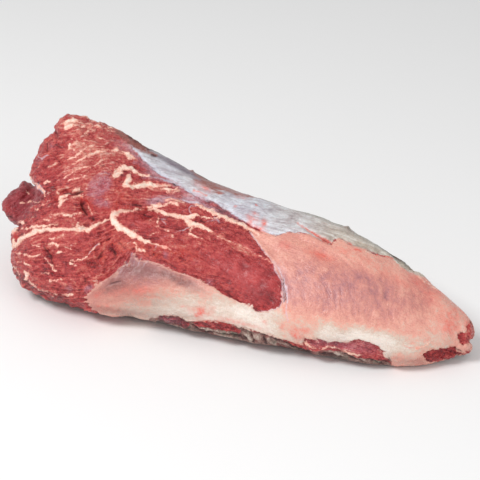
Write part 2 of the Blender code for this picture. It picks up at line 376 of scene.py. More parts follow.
# %% Fat seams on the show side
FAT_SEAMS = {
    "over the lower muscle": ((15, 247.4, 1.2), (20.7, 238.8, 1.9), (30.6, 233.6, 2.0),
        (39.8, 230.6, 2.1), (49, 229.6, 2.1), (56.6, 229, 1.8), (63.5, 229.2, 1.3), (69, 229.3, 1.2),
        (76.5, 228.7, 2.0), (82.6, 228.7, 2.3), (88, 230, 1.9), (91.8, 227.5, 1.6), (98.7, 223.7, 1.3),
        (107, 220.2, 1.0), (111, 218.7, 1.2)),
    "spike of that seam": ((76, 228, 1.5), (78, 225, 1.1), (78.8, 222, 0.6)),
    "strand above it": ((23, 229.4, 0.4), (30, 227.6, 0.8), (36.7, 226.4, 0.9), (45, 226, 1.2),
        (52, 225.2, 0.8), (58, 224.4, 0.2)),
    "left edge, upper": ((16.4, 226.8, 1.8), (14.5, 230.6, 2.2), (13.6, 233, 1.2)),
    "left edge, lower": ((14.2, 240, 1.6), (14.5, 243.5, 1.9), (14.5, 247, 1.3)),
    "hook, upper arm": ((110.7, 218, 1.2), (114.2, 213.9, 2.2), (120.5, 211.2, 2.0), (128.2, 211, 1.4),
        (135.3, 209.6, 1.1), (141, 209, 0.8)),
    "hook, lower arm": ((112.4, 217.6, 2.4), (115.6, 223.4, 3.0), (119.8, 228, 2.9), (125.4, 229.8, 2.1),
        (129, 233.2, 2.8), (133.2, 234.8, 2.8), (136.5, 236.4, 1.4), (141, 239, 1.8), (147.9, 241.8, 1.3),
        (153.5, 243.8, 0.8), (159, 245.4, 1.0), (164.7, 247.6, 1.2), (171, 249.6, 0.6)),
    "upper boundary, first": ((146.7, 207.2, 0.8), (152.1, 206.1, 1.5), (159.1, 205.8, 1.4),
        (166.1, 205, 0.5)),
    "upper boundary, second": ((149, 209.8, 1.2), (155, 209.4, 1.4), (161.9, 212.3, 1.5),
        (169.6, 214.6, 1.5), (177.4, 216, 1.6), (185.8, 217.2, 2.1), (192.8, 216.2, 1.8),
        (199.1, 215.3, 1.0), (208, 218, 0.6), (219.5, 218.4, 0.5)),
    "junction": ((186.5, 219.5, 2.0), (189.3, 223.6, 2.4), (194, 223.4, 2.2), (198.6, 225.2, 2.0),
        (203, 227.4, 1.4), (208.2, 230.2, 1.2), (213, 231.8, 0.6)),
    "hook below the junction": ((191.5, 228, 0.9), (189.7, 231, 1.0), (190, 234, 1.1),
        (193.7, 236.3, 0.8), (199, 238.4, 0.4), (203.3, 241.2, 0.3)),
    "arch over the dark muscle": ((114.4, 171.6, 1.0), (119.1, 168.4, 1.5), (124.5, 167.6, 1.9),
        (130.6, 167.9, 2.1), (134.4, 170.6, 1.6), (139.8, 174.4, 0.9), (145.9, 176.6, 0.8),
        (149.7, 175.8, 0.7)),
    "arch's left foot": ((121.2, 172.4, 1.6), (117, 173.8, 2.4), (114.8, 176, 2.0), (112.6, 173.6, 0.8)),
    "strand down from the arch": ((130.8, 174, 0.7), (129, 177.6, 1.8), (127.6, 181.6, 2.4),
        (126, 185.4, 2.2)),
    "thick streak": ((125.2, 186.4, 1.6), (132.1, 186.8, 2.0), (138, 185.6, 2.1), (144.4, 184.6, 2.3),
        (153.6, 185.8, 2.0), (163, 185.6, 1.5), (171, 184.9, 0.7)),
    "branch of the streak": ((160.4, 189.1, 0.9), (168.9, 190.7, 1.2), (177.3, 188.3, 0.8)),
    "branch's end": ((166, 191.6, 0.6), (174, 192.4, 0.9), (180, 190.4, 0.6)),
    "pale lump": ((71.9, 192, 0.7), (75, 189.8, 1.4), (78.8, 189.4, 1.2)),
    "pink rim of the oval": ((209, 232.5, 0.0), (218, 237, 0.1), (228, 241.4, 0.0), (238, 245.2, 0.2),
        (247, 248.6, 0.1), (256, 253.6, -0.1), (264, 258.4, -0.1), (272, 262.6, -0.1)),
    "crumbs by the film, first": ((166, 200.6, 0.6), (172, 199, 1.1), (178, 200.2, 0.9), (184, 202.4, 0.5)),
    "crumbs by the film, second": ((164, 204, 0.7), (171, 203, 1.0), (178, 204.4, 0.7)),
    "strip on the ridge": ((415.7, 276.6, 0.6), (421, 279.4, 0.9), (427.2, 284.2, 1.0), (433, 288.2, 1.0),
        (437.4, 292, 0.6)),
    "short white mark": ((112.2, 150.5, 1.0), (119.1, 150.6, 1.1)),
    "knobbly mark": ((121.4, 151.3, 0.9), (126, 153.6, 1.6), (129.8, 157, 1.7), (135.2, 158.9, 0.9)),
    "upper corner, upper lobe": ((65.2, 124.4, 1.3), (68.9, 122.2, 1.8), (74.5, 120, 1.9)),
    "upper corner, lower lobe": ((65.2, 128.4, 1.6), (69, 127.3, 1.7), (73, 125.8, 1.0), (76.5, 124.5, 0.7)),
    "along the top edge, first": ((75.7, 121.5, 0.6), (82.6, 123.4, 0.6), (90.3, 125.3, 0.4),
        (99.5, 128, 0.5), (107, 129.9, 0.3), (119.4, 132.4, 0.1)),
    "along the top edge, second": ((79.6, 126, 0.5), (85.7, 126.5, 0.6), (90.3, 128.7, 0.6),
        (94.1, 132.2, 0.3)),
    "along the top edge, third": ((81, 116.9, 0.1), (91.8, 120.7, 0.2), (101.8, 124.6, 0.2),
        (113.2, 129, 0.1)),
    "small fork": ((83.4, 134.1, 0.5), (86.5, 133.7, 0.6), (88, 131, 0.4)),
    "short line by the fork": ((96.4, 137.2, 0.4), (105.6, 139, 0.6)),
    "bead": ((69.6, 144.5, 1.3), (69.6, 148.6, 1.2)),
    "bead's neighbour": ((74.2, 149.4, 0.8), (74.8, 150.6, 0.6)),
    "tiny dot": ((72, 138.7, 0.5), (72.6, 138.7, 0.5)),
    "white edge of the cut": ((29.9, 173, 0.5), (31.4, 178.9, 0.5), (34.4, 183.5, 0.6), (39, 187, 0.7),
        (42.8, 191, 0.8), (45.1, 196.5, 0.5)),
    "bluish bit": ((43, 183, 0.9), (47, 181.6, 1.2), (50.5, 182, 0.9)),
    "knob between the muscles": ((68.4, 193.6, 1.0), (66, 195.2, 1.9), (62.8, 197, 1.7), (60.6, 200, 2.1),
        (60.4, 203.4, 1.5), (59.2, 206.6, 1.1)),
    "crumb by the knob": ((65.4, 200.4, 0.7), (64.6, 202.2, 0.9)),
    "small knob": ((57.3, 191.6, 0.8), (58.4, 193.2, 1.1)),
    "tendon by the hole": ((74, 197, 0.9), (80.5, 195.4, 1.2), (83, 197.4, 0.8)),
    "streak past the hole": ((87, 203, 0.7), (89.4, 207.6, 1.2), (91.4, 212, 1.3), (92.6, 215.4, 0.7)),
    "specks, lower muscle": ((49.7, 238.5, 0.5), (56.6, 237.9, 0.9), (63.5, 235.4, 0.6)),
    "knot, lower muscle": ((53.4, 243.4, 0.9), (58, 244.8, 1.0)),
    "thin line to the knot": ((45, 244, 0.5), (53, 243.8, 0.4)),
    "dash right of the knot": ((64, 246, 0.3), (69.2, 248.6, 0.6), (71, 249.4, 0.8)),
    "dot below the knot": ((58.4, 252.2, 1.0), (61.5, 252.6, 1.1)),
    "dash near the crack": ((32, 245, 0.7), (39.8, 246.3, 0.6)),
    "long line, lowest muscle": ((16, 253.2, 0.6), (23, 253.7, 0.5), (29.8, 256.2, 0.6),
        (36.7, 256.6, 0.8), (39.8, 253.6, 0.6), (44.4, 257.8, 0.5), (49, 262.7, 0.6), (52.8, 268.1, 0.7),
        (55.9, 270.8, 0.6)),
    "twin marks": ((17.6, 261.6, 0.8), (20.7, 261.2, 0.7)),
    "second mark": ((24.5, 262.5, 0.9), (27.5, 264.5, 0.7), (31, 264.8, 0.4)),
    "dash in the dark band": ((41.3, 273.6, 0.5), (49, 273, 0.6)),
    "fat bit at the rim": ((24.6, 271.5, 1.3), (26.8, 275.5, 2.0), (26.2, 279, 1.2)),
    "line along the rim": ((12.6, 265.8, 0.5), (15.3, 269, 0.5), (19.9, 274.4, 0.6)),
    "rim, lower": ((29, 281.1, 0.7), (32.9, 284.9, 0.6), (39.8, 290.3, 0.6), (45.9, 290.9, 0.5),
        (53.6, 293.7, 0.6), (57, 294.6, 0.5)),
    "low dash": ((49.7, 280.3, 0.4), (56.6, 280.2, 0.6), (62, 279.2, 0.4)),
    "pale bar": ((62, 294.9, 0.8), (71.9, 294.6, 0.8)),
    "pair by the hollow": ((69.6, 263.5, 0.8), (72.7, 263.1, 0.6)),
    "dot by the hollow": ((75.4, 265.3, 0.8), (76.4, 265.5, 0.8)),
    "line to the hollow": ((71, 261, 0.5), (82.6, 259.4, 0.6), (88.8, 255, 0.5), (94.9, 246.7, 0.4),
        (98.7, 243.2, 0.4)),
    "dashes, middle muscle": ((42, 205.4, 0.5), (45.9, 203, 0.6)),
    "dot, middle muscle": ((36.8, 210, 0.8), (37.8, 208.8, 0.7)),
    "dot by the lobe": ((22.4, 223, 1.0), (23.6, 222.4, 0.9)),
    "dash one, middle": ((30.6, 218.7, 0.4), (34.4, 217.2, 0.5)),
    "dash two, middle": ((44.4, 219.7, 0.5), (49, 220.4, 0.6)),
    "line, middle": ((49, 215.3, 0.4), (58, 214.9, 0.5)),
    "line to the strip": ((64.3, 215.3, 0.7), (69.6, 215.3, 0.9), (75, 213.8, 0.6), (79.6, 213, 0.5)),
    "dot above the line": ((72.7, 209.2, 0.6), (75.7, 209.5, 0.6)),
    "pale knot": ((74.2, 217.2, 0.8), (75.2, 219.9, 0.9)),
    "fleck on the lobe, first": ((26.4, 190.3, 0.7), (29, 193, 0.6)),
    "fleck on the lobe, second": ((20.7, 203.1, 0.6), (26, 203, 0.6)),
    "fleck on the lobe, third": ((28.3, 202.5, 0.5), (31.4, 201.4, 0.6)),
    "fleck on the lobe, fourth": ((34.6, 202.2, 0.5), (39.8, 202.2, 0.5)),
    "upper muscle, long streak": ((62, 170.4, 0.5), (66.6, 167.4, 0.6), (73.5, 163.6, 0.5),
        (80.3, 159.7, 0.6), (88, 155.9, 1.0), (91.8, 153.8, 1.3), (98, 151.8, 1.2), (107, 150.6, 0.4)),
    "upper muscle, second streak": ((67.3, 159, 0.8), (73.5, 157.4, 0.7), (80.3, 152.8, 0.5),
        (88, 147.5, 0.6), (94.9, 144.8, 0.5)),
    "upper muscle, third streak": ((63.5, 178.1, 0.4), (68.9, 175, 0.5), (75, 170.6, 0.5),
        (81, 167.8, 0.5), (87, 167, 0.5)),
    "upper muscle, fourth streak": ((68, 181.2, 0.3), (75, 178.1, 0.4), (84.2, 175.8, 0.4)),
    "upper muscle, short streak": ((73.5, 144.8, 0.4), (76.5, 143.3, 0.5), (80.3, 142.9, 0.4)),
    "upper muscle, right streak": ((94.9, 165.9, 0.5), (101.8, 159.7, 0.5)),
    "left muscle, short streak": ((49, 166.6, 0.8), (56.6, 162.8, 0.7)),
    "oval muscle, small lines": ((154.9, 226.5, 0.3), (163.3, 228.2, 0.4), (168.2, 232.1, 0.3)),
    "oval muscle, second line": ((150.7, 234.9, 0.3), (155.6, 232.2, 0.4), (159, 232.8, 0.3)),
    "oval muscle, third line": ((145, 220.9, 0.3), (151.4, 220.9, 0.4)),
    "oval muscle, yellow fleck": ((158.4, 218, 0.5), (157.2, 224, 0.6)),
    "oval muscle, dot": ((173, 236.2, 0.6), (173.6, 237.4, 0.6)),
    "twin dashes": ((130.6, 230.2, 0.5), (136, 230.6, 0.5)),
    "bits above the spikes": ((134.6, 242, 0.7), (136.7, 245.4, 0.8), (136, 250.2, 1.0)),
    "second bit there": ((139.6, 249.4, 0.9), (145, 251.8, 1.1)),
    "fold near the tip": ((431.7, 339.5, 0.6), (427.6, 342.6, 1.2), (423.4, 346.3, 1.0), (415.7, 348.4, 0.6)),
    "strip under the low window": ((322.3, 348.5, 0.6), (327.4, 346.8, 0.6), (334.4, 348.5, 0.8),
        (343.4, 350.6, 1.1), (351, 354, 1.2), (357.4, 356, 1.0), (364, 355.6, 0.5)),
    "strip under its left end": ((303, 341, 0.8), (309, 345.6, 1.1), (316, 348.4, 0.8)),
    "flake at the low window": ((310.5, 338, 0.9), (311.2, 339.4, 0.7)),
    "beige strip under the silverskin": ((196, 204.4, 0.8), (203.4, 208, 1.4), (214, 213, 1.7),
        (224.5, 217.4, 1.9), (234, 221.4, 1.9), (243, 225.6, 1.9), (251.6, 230, 1.7), (260, 235, 1.0)),
}
THIN_SEAM = 0.9
SPREAD = 0.42


def spread(stroke):
    """The stroke with its broad stretches spread further, since crumbs of fat lie beside them."""
    return tuple((x, y, half_width + SPREAD * max(half_width - THIN_SEAM, 0.0))
                 for x, y, half_width in stroke)


FAT_UNEVENNESS = 0.7
fat = stroke_depth(shaken, [spread(stroke) for stroke in FAT_SEAMS.values()]) + FAT_UNEVENNESS * lumps_small
print(len(FAT_SEAMS), "fat strokes;", int((fat > 0).sum()), "points lie in fat")

# %% [markdown]
# ## The coat of fat and fascia, and the windows in it
#
# The right half and the lower edge wear a coat: thin pink fascia that thickens to cream fat near the table.
# The oval muscle shows where the coat was trimmed away, and below its lower edge a few windows of dark
# muscle show before the brownish film of the underside begins.

# %% Areas of the show side
COAT = (
    (86, 301), (85.5, 296.8), (91.6, 290.4), (95, 287), (95.6, 283.4), (97.9, 286), (103.2, 281.9),
    (109.5, 278.2), (117, 274), (119, 269.3), (124, 265.8), (125.8, 262.8), (127.5, 266), (129.3, 266.5),
    (130.6, 258), (133.4, 252.6), (135.6, 257), (139.5, 260), (140.4, 255.6), (141.8, 260.2),
    (149.3, 260.9), (157, 263.6), (169.6, 268.6), (183.7, 272.8), (192, 276), (201.2, 280.5),
    (210.4, 285.4), (222.8, 292.7), (231, 297.5), (238, 301.3), (245, 303), (252, 306), (256, 310.2),
    (262, 311), (269, 311), (277, 308.6), (281.3, 305.4), (282.3, 300), (282.5, 292), (281.6, 281),
    (278.6, 276.6), (274.8, 270), (274, 264.8), (270.6, 259.6), (264.9, 252.9), (258.8, 245.2),
    (253.5, 237.6), (249.4, 232), (254, 231.6), (262, 231), (269, 233.5), (276, 236), (281, 234.5),
    (288, 232), (299, 233.2), (310, 234), (320, 240), (331, 245), (334, 241), (337, 238), (343, 239.5),
    (350, 244.8), (357, 246.5), (369, 251), (377, 254), (392, 258.5), (400, 266), (411, 273), (418, 272),
    (428, 279), (442, 290), (462, 306), (470, 320), (466, 326), (464.6, 331), (459, 334), (457, 338),
    (458.4, 342.4), (461, 344.6), (470, 343.6), (476, 347), (471.8, 350), (463, 351), (456, 352.4),
    (455.4, 348.6), (454.4, 347), (447.6, 347.4), (440, 348.8), (434.2, 350.2), (426.6, 351), (424, 353.4),
    (424.6, 359.3), (436, 361.8), (430, 367), (400, 368), (391, 364), (388.4, 359), (384, 357),
    (383.6, 350.4), (378, 345.8), (372, 342.6), (366, 341.4), (360, 340), (351, 340.2), (343.4, 341.4),
    (333.2, 342.4), (328.7, 343.6), (324.2, 341.4), (319, 339.6), (312.8, 339), (305.7, 339), (304, 342),
    (300, 345), (288, 341), (276, 336.4), (264, 333), (253.6, 331), (247.3, 329.8), (238.3, 326.4),
    (226.8, 322), (215.3, 320.2), (200, 320.4), (194, 321.2), (189.8, 320.8), (182.7, 316.6),
    (173.8, 315.6), (165.7, 315), (159, 316.4), (150, 324), (110, 318), (92, 309), (88, 304),
)
SILVERSKIN = (
    (117, 139.4), (125, 142), (134, 146), (143, 149.6), (150, 150.6), (157, 147), (184, 160), (200, 172),
    (234, 183), (259, 190), (285, 198), (310, 206), (331, 214), (349, 222), (365, 230), (391, 246),
    (404, 256), (417, 268), (427, 279), (418, 277), (411, 273), (400, 266), (392, 258.5), (377, 254),
    (369, 251), (357, 246.5), (350, 244.8), (343, 239.5), (337, 238), (333, 241), (331, 245), (320, 240),
    (309, 233.5), (299, 233.2), (288, 232), (281, 234.5), (276, 236), (269, 233.5), (262, 231),
    (251.6, 225.4), (238, 216.8), (224.5, 209.4), (212, 202), (200, 197.2), (191.8, 193), (183, 188.6),
    (177.3, 183.6), (170, 180.6), (164.5, 177.6), (157.3, 172.2), (148.2, 164.4), (141.8, 159.6),
    (135.5, 153.4), (130.5, 148.4), (124, 143),
)
LOBE = (
    (30, 176), (24, 181), (17, 186), (9, 191), (3, 198), (0, 206), (0, 216), (6, 221), (12, 226), (22, 229),
    (23.6, 222), (28.4, 213), (36.2, 204.8), (43.4, 197), (41.4, 192), (36, 186), (31, 180),
)
LOW_WINDOW = (
    (305.7, 339.6), (312.8, 339.4), (319, 340.2), (324.2, 342), (328.7, 344), (333.2, 342.8), (343.4, 342),
    (351, 340.8), (360, 340.5), (366.3, 341.8), (372, 343), (377.8, 346), (383.5, 350.6), (383.5, 357.2),
    (380.4, 360), (375.3, 359.3), (368.2, 356.4), (361.2, 354), (353.6, 350.4), (344.6, 347.8),
    (338.3, 348.2), (328, 345.8), (321.7, 347.6), (316, 346), (309.6, 344),
)
TIP_WINDOW = ((424.6, 354.8), (424, 353.4), (426.6, 351.2), (434.2, 350.4), (440, 349), (447.6, 347.6),
              (454.6, 347.2), (455.3, 349), (450.2, 353.5), (443.8, 355.5), (438.7, 359.3), (435.5, 357.4),
              (432.3, 356), (428.5, 356.7))
LOW_STREAK = (
    ((160.6, 318, 1.6), (168, 320, 3.4), (178, 321.8, 4.2), (187, 324.4, 3.0)),
    ((196, 323.4, 2.0), (206, 323.8, 3.4), (218, 325, 4.0), (230, 328, 3.8), (238, 331, 2.6)),
)
UNDER_HEM = (
    (150, 316), (159, 316.4), (173.8, 315.8), (183, 316.8), (190, 321), (200, 320.6), (215.3, 320.4),
    (226.8, 322.2), (238.3, 326.6), (250, 330.8), (264, 333.6), (276.5, 337.4), (288, 342.6), (299.5, 347.6),
    (311, 351.6), (322, 349.6), (330, 350), (345, 352.6), (358, 358), (370, 359.6), (383, 361.8), (391, 364),
    (394, 376), (300, 380), (140, 350),
)

coat = area_depth(calm, COAT)
silver = area_depth(calm, SILVERSKIN)
lobe = area_depth(calm, LOBE)
windows = np.maximum(area_depth(shaken, LOW_WINDOW), area_depth(shaken, TIP_WINDOW))
low_streak = stroke_depth(shaken, LOW_STREAK)
hem = area_depth(calm, UNDER_HEM)
print("coat, silverskin, hem:", [int((depth > 0).sum()) for depth in (coat, silver, hem)], "points")

# %% [markdown]
# ## The back and the cut end
#
# The same picture can be looked up from behind: a point of the back is given the pixel it would have if the
# meat were clear. At the outline, front and back then agree, and the tissues run on without a seam. On the
# back the coat reaches further, the silverskin hangs lower, and the cut end is bare muscle, so those areas
# are drawn again. How much of each drawing a point takes depends on how far it has turned away.

# %% Areas of the back
BACK_SILVERSKIN = (
    (112, 120), (128, 142), (124, 158), (146, 170), (152, 186), (182, 196), (214, 212), (240, 220),
    (270, 228), (306, 246), (340, 252), (372, 268), (400, 276), (424, 292), (445, 298), (460, 280),
    (300, 150),
)
BACK_COAT = (
    (104, 160), (120, 196), (112, 226), (124, 252), (118, 280), (132, 306), (160, 320), (240, 340),
    (330, 358), (400, 370), (490, 370), (490, 250), (300, 150), (120, 100),
)
BACK_WINDOW = ((196, 262), (226, 256), (262, 270), (290, 292), (284, 312), (250, 316), (216, 300), (194, 282))
BACK_SEAMS = (
    ((30, 168, 1.0), (48, 182, 1.8), (70, 190, 2.4), (92, 200, 1.8), (112, 204, 2.6)),
    ((92, 200, 1.6), (98, 222, 2.2), (92, 246, 1.6), (100, 270, 2.2), (92, 292, 1.2)),
    ((24, 236, 1.4), (44, 246, 2.0), (66, 244, 1.4), (92, 248, 1.8)),
    ((58, 130, 1.0), (72, 150, 1.6), (92, 162, 1.2)),
    ((196, 262, 1.2), (226, 256, 1.8), (262, 270, 1.4), (290, 292, 1.8)),
)
BACK_THINNING = 0.35  # there the silverskin thins out slowly towards its edge
SEEN_FULLY = 0.04
SEEN_FROM_BEHIND = -0.16
show_share = soft_step(facing, SEEN_FROM_BEHIND, SEEN_FULLY)
behind = pixels + 2.6 * np.column_stack((lumps, lumps_large)) + shake


def with_back(front, back):
    """The front's value where a point is seen and the back's where it is turned away."""
    return back + show_share * (front - back)


back_window = area_depth(behind, BACK_WINDOW)
coat = with_back(coat, np.minimum(area_depth(behind, BACK_COAT), -back_window))
silver = with_back(silver, BACK_THINNING * area_depth(behind, BACK_SILVERSKIN))
fat = with_back(fat, stroke_depth(behind, BACK_SEAMS))
windows = with_back(windows, FAR_OUTSIDE)

# %% [markdown]
# The underside is one dull, brownish film with folds. It is known by the way it faces and by its height
# over the table, and its upper border on the show side is the hem drawn above.

# %% The underside film
FILM_REACH = 9 * MM
downward = soft_step(-normals[:, 2], 0.45, 0.85)
low = soft_step(FILM_REACH - points[:, 2] + 2.5 * MM * lumps, 0.0, 5 * MM)
under = np.maximum.reduce((
    downward * soft_step(points[:, 2], 30 * MM, 14 * MM) * soft_step(-facing, -0.05, 0.3),
    low * soft_step(-facing, 0.1, 0.4),
    soft_step(hem, -0.6, 0.8) * show_share,
))
under *= 1.0 - 0.95 * soft_step(np.maximum(windows, low_streak), -0.6, 0.8) * show_share
# Painted light and shade on the hem's folds: their tops are drawn pale and their creases dark, and the same
# drawing raises and lowers the relief.
LIT_FOLD_TOPS = (
    ((160, 318.6, 0.5), (168, 320.4, 0.7), (176, 321.6, 0.6), (184, 323.6, 0.4)),
    ((163, 322.4, 0.4), (174, 325.4, 0.5), (183, 327.6, 0.4)),
    ((187, 320, 0.6), (193, 324, 1.0), (196, 327, 0.7)),
    ((198, 327.4, 0.5), (206, 328.6, 0.7), (214, 329.8, 0.9), (224, 331.8, 0.8), (231, 333.6, 0.5)),
    ((209, 331.8, 0.5), (219, 332.6, 0.7), (228, 335.4, 0.6)),
    ((216, 334.4, 0.8), (222, 335.8, 1.4), (228, 337, 1.5), (232, 337.4, 0.8)),
    ((243, 331.6, 1.0), (248, 335.6, 1.6), (251, 340, 1.4)),
    ((253, 333.6, 1.0), (257, 336.8, 1.8), (260, 340.6, 1.4)),
    ((268, 338.2, 0.8), (272, 341, 1.4), (276, 344, 1.2)),
    ((276, 340.6, 0.7), (281, 343.6, 1.0), (286, 346.2, 0.7)), ((287, 345.4, 0.4), (294, 347.8, 0.5)),
    ((330, 350.6, 0.8), (337, 353, 1.2), (342, 356, 0.8)),
    ((352, 355, 0.8), (360, 358, 1.2), (366, 361, 0.7)), ((372, 361.4, 0.8), (380, 364, 0.9)),
    ((112, 311.4, 0.5), (120, 313.6, 0.7), (128, 315.4, 0.5)),
    ((136, 317.6, 0.5), (146, 320, 0.7), (154, 321.6, 0.5)),
)
SHADED_FOLD_CREASES = (
    ((160, 320.6, 0.5), (170, 323, 0.8), (180, 325.4, 0.8), (190, 327.4, 0.6)),
    ((190, 322.4, 0.5), (194.6, 326.4, 0.6), (204, 330.6, 0.8), (213, 332.6, 0.6)),
    ((214, 330.8, 0.4), (225, 333.4, 0.6), (234, 335.2, 0.9), (242, 336.4, 1.4), (247, 339, 1.0)),
    ((250, 333, 0.5), (253, 337, 0.8), (254.6, 341, 0.8)),
    ((262, 335, 0.6), (264.4, 339, 1.1), (266, 343, 1.1)),
    ((262, 333.6, 0.4), (272, 336.2, 0.7), (283, 340.6, 0.9), (292, 345.6, 1.2), (302, 350, 1.2),
     (312, 353, 1.0)), ((277, 344.8, 0.7), (284, 347.4, 1.0), (292, 349, 1.0)),
    ((320, 351.6, 0.8), (330, 354, 1.0), (340, 357.6, 0.8)),
    ((345, 353.4, 0.5), (352, 357, 0.8), (360, 360.6, 0.7)),
    ((366, 358.6, 0.5), (373, 361.4, 0.8), (383, 364.6, 0.7)),
)
lit_fold_top = soft_step(stroke_depth(shaken, LIT_FOLD_TOPS), -1.2, 0.7) * show_share
shaded_fold_crease = soft_step(stroke_depth(shaken, SHADED_FOLD_CREASES), -1.0, 0.7) * show_share
fold = lit_fold_top * (1.0 - shaded_fold_crease) - shaded_fold_crease
print("underside film on", int((under > 0.5).sum()), "points")

# %% [markdown]
# ## Combing the fibres
#
# Muscle fibres, the streaks of silverskin and the pale fingers in the fascia all run along the tissue. A
# short list of guides says which way they run in each part of the picture. Plain noise is then combed along
# those directions: each cell takes the mean of the noise met while walking a few pixels forward and back.
# The result is streaks that bend with the guides.

# %% Comb noise along guides
GUIDE_REACH = 17.0
GUIDES = (  # x, y, angle in degrees, downwards to the right
    (66, 120, 12), (100, 127, 20), (60, 140, -25), (80, 140, -22), (46, 165, -34), (40, 180, -38),
    (75, 160, -32), (100, 155, -24), (80, 178, -26), (110, 170, -8), (105, 190, -14), (125, 150, 20),
    (138, 175, 28), (140, 190, 0), (45, 208, -34), (60, 215, -14), (80, 218, -8), (20, 200, -40),
    (20, 238, -38), (35, 238, -16), (60, 240, -2), (90, 240, 12), (20, 258, -12), (40, 264, 6),
    (60, 262, 12), (30, 278, 34), (50, 285, 14), (80, 285, 0), (104, 250, -46), (100, 300, 10),
    (150, 222, 12), (180, 232, 20), (215, 250, 28), (250, 275, 34), (265, 295, 38), (245, 244, 32),
    (150, 245, 26), (110, 285, -24), (124, 272, -52), (134, 262, -74), (150, 270, 18), (190, 285, 24),
    (180, 305, 6), (230, 312, 14), (270, 322, 18), (330, 333, 10), (380, 340, 16), (420, 345, -6),
    (150, 150, 36), (180, 172, 30), (215, 190, 27), (250, 208, 22), (290, 220, 18), (330, 226, 22),
    (370, 242, 28), (400, 262, 36), (160, 200, -22), (290, 245, 24), (312, 256, 20), (300, 280, 80),
    (325, 285, 84), (345, 288, 88), (365, 290, 96), (385, 296, 100), (405, 300, 100), (425, 305, 96),
    (445, 312, 84), (340, 266, 40), (380, 274, 50), (415, 284, 44), (435, 296, 42), (455, 325, 70),
    (320, 315, 70), (288, 285, 84), (430, 330, 20),
)


def picture_grid(cell):
    """The middles, x and y, of square cells of some pixels that cover the picture."""
    middles = (np.arange(int(PICTURE_SIZE / cell)) + 0.5) * cell
    return np.meshgrid(middles, middles)


def fibre_direction(x, y):
    """The angle in which the fibres run at each place, downwards to the right."""
    cosine = np.full(x.shape, 1e-6)
    sine = np.zeros(x.shape)
    for guide_x, guide_y, angle in GUIDES:
        weight = np.exp(-((x - guide_x) ** 2 + (y - guide_y) ** 2) / (2 * GUIDE_REACH ** 2))
        cosine += weight * math.cos(math.radians(2 * angle))
        sine += weight * math.sin(math.radians(2 * angle))
    return np.arctan2(sine, cosine) / 2


def combed_noise(cell, reach, seed):
    """A picture of noise with cells of some pixels, combed along the guides over a reach in pixels."""
    direction = fibre_direction(*picture_grid(cell))
    count = len(direction)
    step_x, step_y = np.cos(direction), np.sin(direction)
    grain = np.random.default_rng(seed).standard_normal((count, count))
    total = grain.copy()
    for way in (1.0, -1.0):
        column, row = np.meshgrid(np.arange(count, dtype=float), np.arange(count, dtype=float))
        last_x, last_y = way * step_x, way * step_y
        for _ in range(int(reach / cell)):
            i = np.clip(np.rint(row).astype(int), 0, count - 1)
            j = np.clip(np.rint(column).astype(int), 0, count - 1)
            keep = np.where(step_x[i, j] * last_x + step_y[i, j] * last_y < 0, -1.0, 1.0)
            last_x, last_y = keep * step_x[i, j], keep * step_y[i, j]
            column += last_x
            row += last_y
            i = np.clip(np.rint(row).astype(int), 0, count - 1)
            j = np.clip(np.rint(column).astype(int), 0, count - 1)
            total += grain[i, j]
    return total / total.std()


def look_up(picture, places):
    """The picture's value at each place, blended between its four nearest cells."""
    scaled = np.clip(places / PICTURE_SIZE * len(picture) - 0.5, 0, len(picture) - 1.001)
    column, row = scaled[:, 0].astype(int), scaled[:, 1].astype(int)
    right, down = scaled[:, 0] - column, scaled[:, 1] - row
    upper = picture[row, column] * (1 - right) + picture[row, column + 1] * right
    lower = picture[row + 1, column] * (1 - right) + picture[row + 1, column + 1] * right
    return upper * (1 - down) + lower * down


DARKEST_GAP = -0.8
fibre = np.maximum(look_up(combed_noise(0.8, 5.0, seed=11), shaken), DARKEST_GAP)
strand = np.maximum(look_up(combed_noise(1.6, 8.0, seed=12), shaken), 1.3 * DARKEST_GAP)
finger = look_up(combed_noise(2.8, 10.0, seed=13), shaken)
print("fibres combed:", round(float(fibre.std()), 2), round(float(finger.std()), 2))

# %% [markdown]
# The mesh is too coarse to hold the finest fibres, so the material draws those. It needs to know how far
# across the fibres a point lies. That is a height field whose slope points across the fibres everywhere.
# Fourier's way finds the field whose slope comes nearest to the wanted one in a single step: the mean slope
# is a plane, and each wave of the rest is divided by its own steepness.

# %% How far across the fibres each point lies
ACROSS_CELL = 2.0


def height_with_slope(slope_x, slope_y, x, y):
    """The height field over the picture whose slope comes nearest to the wanted one."""
    mean_x, mean_y = slope_x.mean(), slope_y.mean()
    waves = 2.0 * math.pi * np.fft.fftfreq(len(x), d=ACROSS_CELL)
    wave_x, wave_y = np.meshgrid(waves, waves)
    steepness = wave_x ** 2 + wave_y ** 2
    steepness[0, 0] = 1.0
    rest = wave_x * np.fft.fft2(slope_x - mean_x) + wave_y * np.fft.fft2(slope_y - mean_y)
    return np.real(np.fft.ifft2(-1j * rest / steepness)) + mean_x * x + mean_y * y


across_x, across_y = picture_grid(ACROSS_CELL)
across_angle = fibre_direction(across_x, across_y)
across_field = height_with_slope(-np.sin(across_angle), np.cos(across_angle), across_x, across_y)
comb = np.column_stack((shaken[:, 0], look_up(across_field, pixels + 0.6 * shake), 3.0 * lumps_large))
nearest, furthest = float(comb[:, 1].min()), float(comb[:, 1].max())
print("across the fibres from", round(nearest), "to", round(furthest), "pixels")

# %% Let the fibres fray the edges of the tissues, and thin the silverskin out where it starts
SILVER_FRAY = 0.9
COAT_FRAY = 0.95
THIN_SILVER = ((126, 144.6, 14, 5, 40, 3.2), (142, 152, 6, 2, 36, 1.2), (205, 186, 12, 1.6, 26, 1.0))
silver += SILVER_FRAY * strand - soft_spots(pixels, THIN_SILVER) * show_share + with_back(0.0, 1.0 * lumps)
coat += COAT_FRAY * (strand + 0.6 * fibre) + with_back(0.0, 1.6 * lumps)
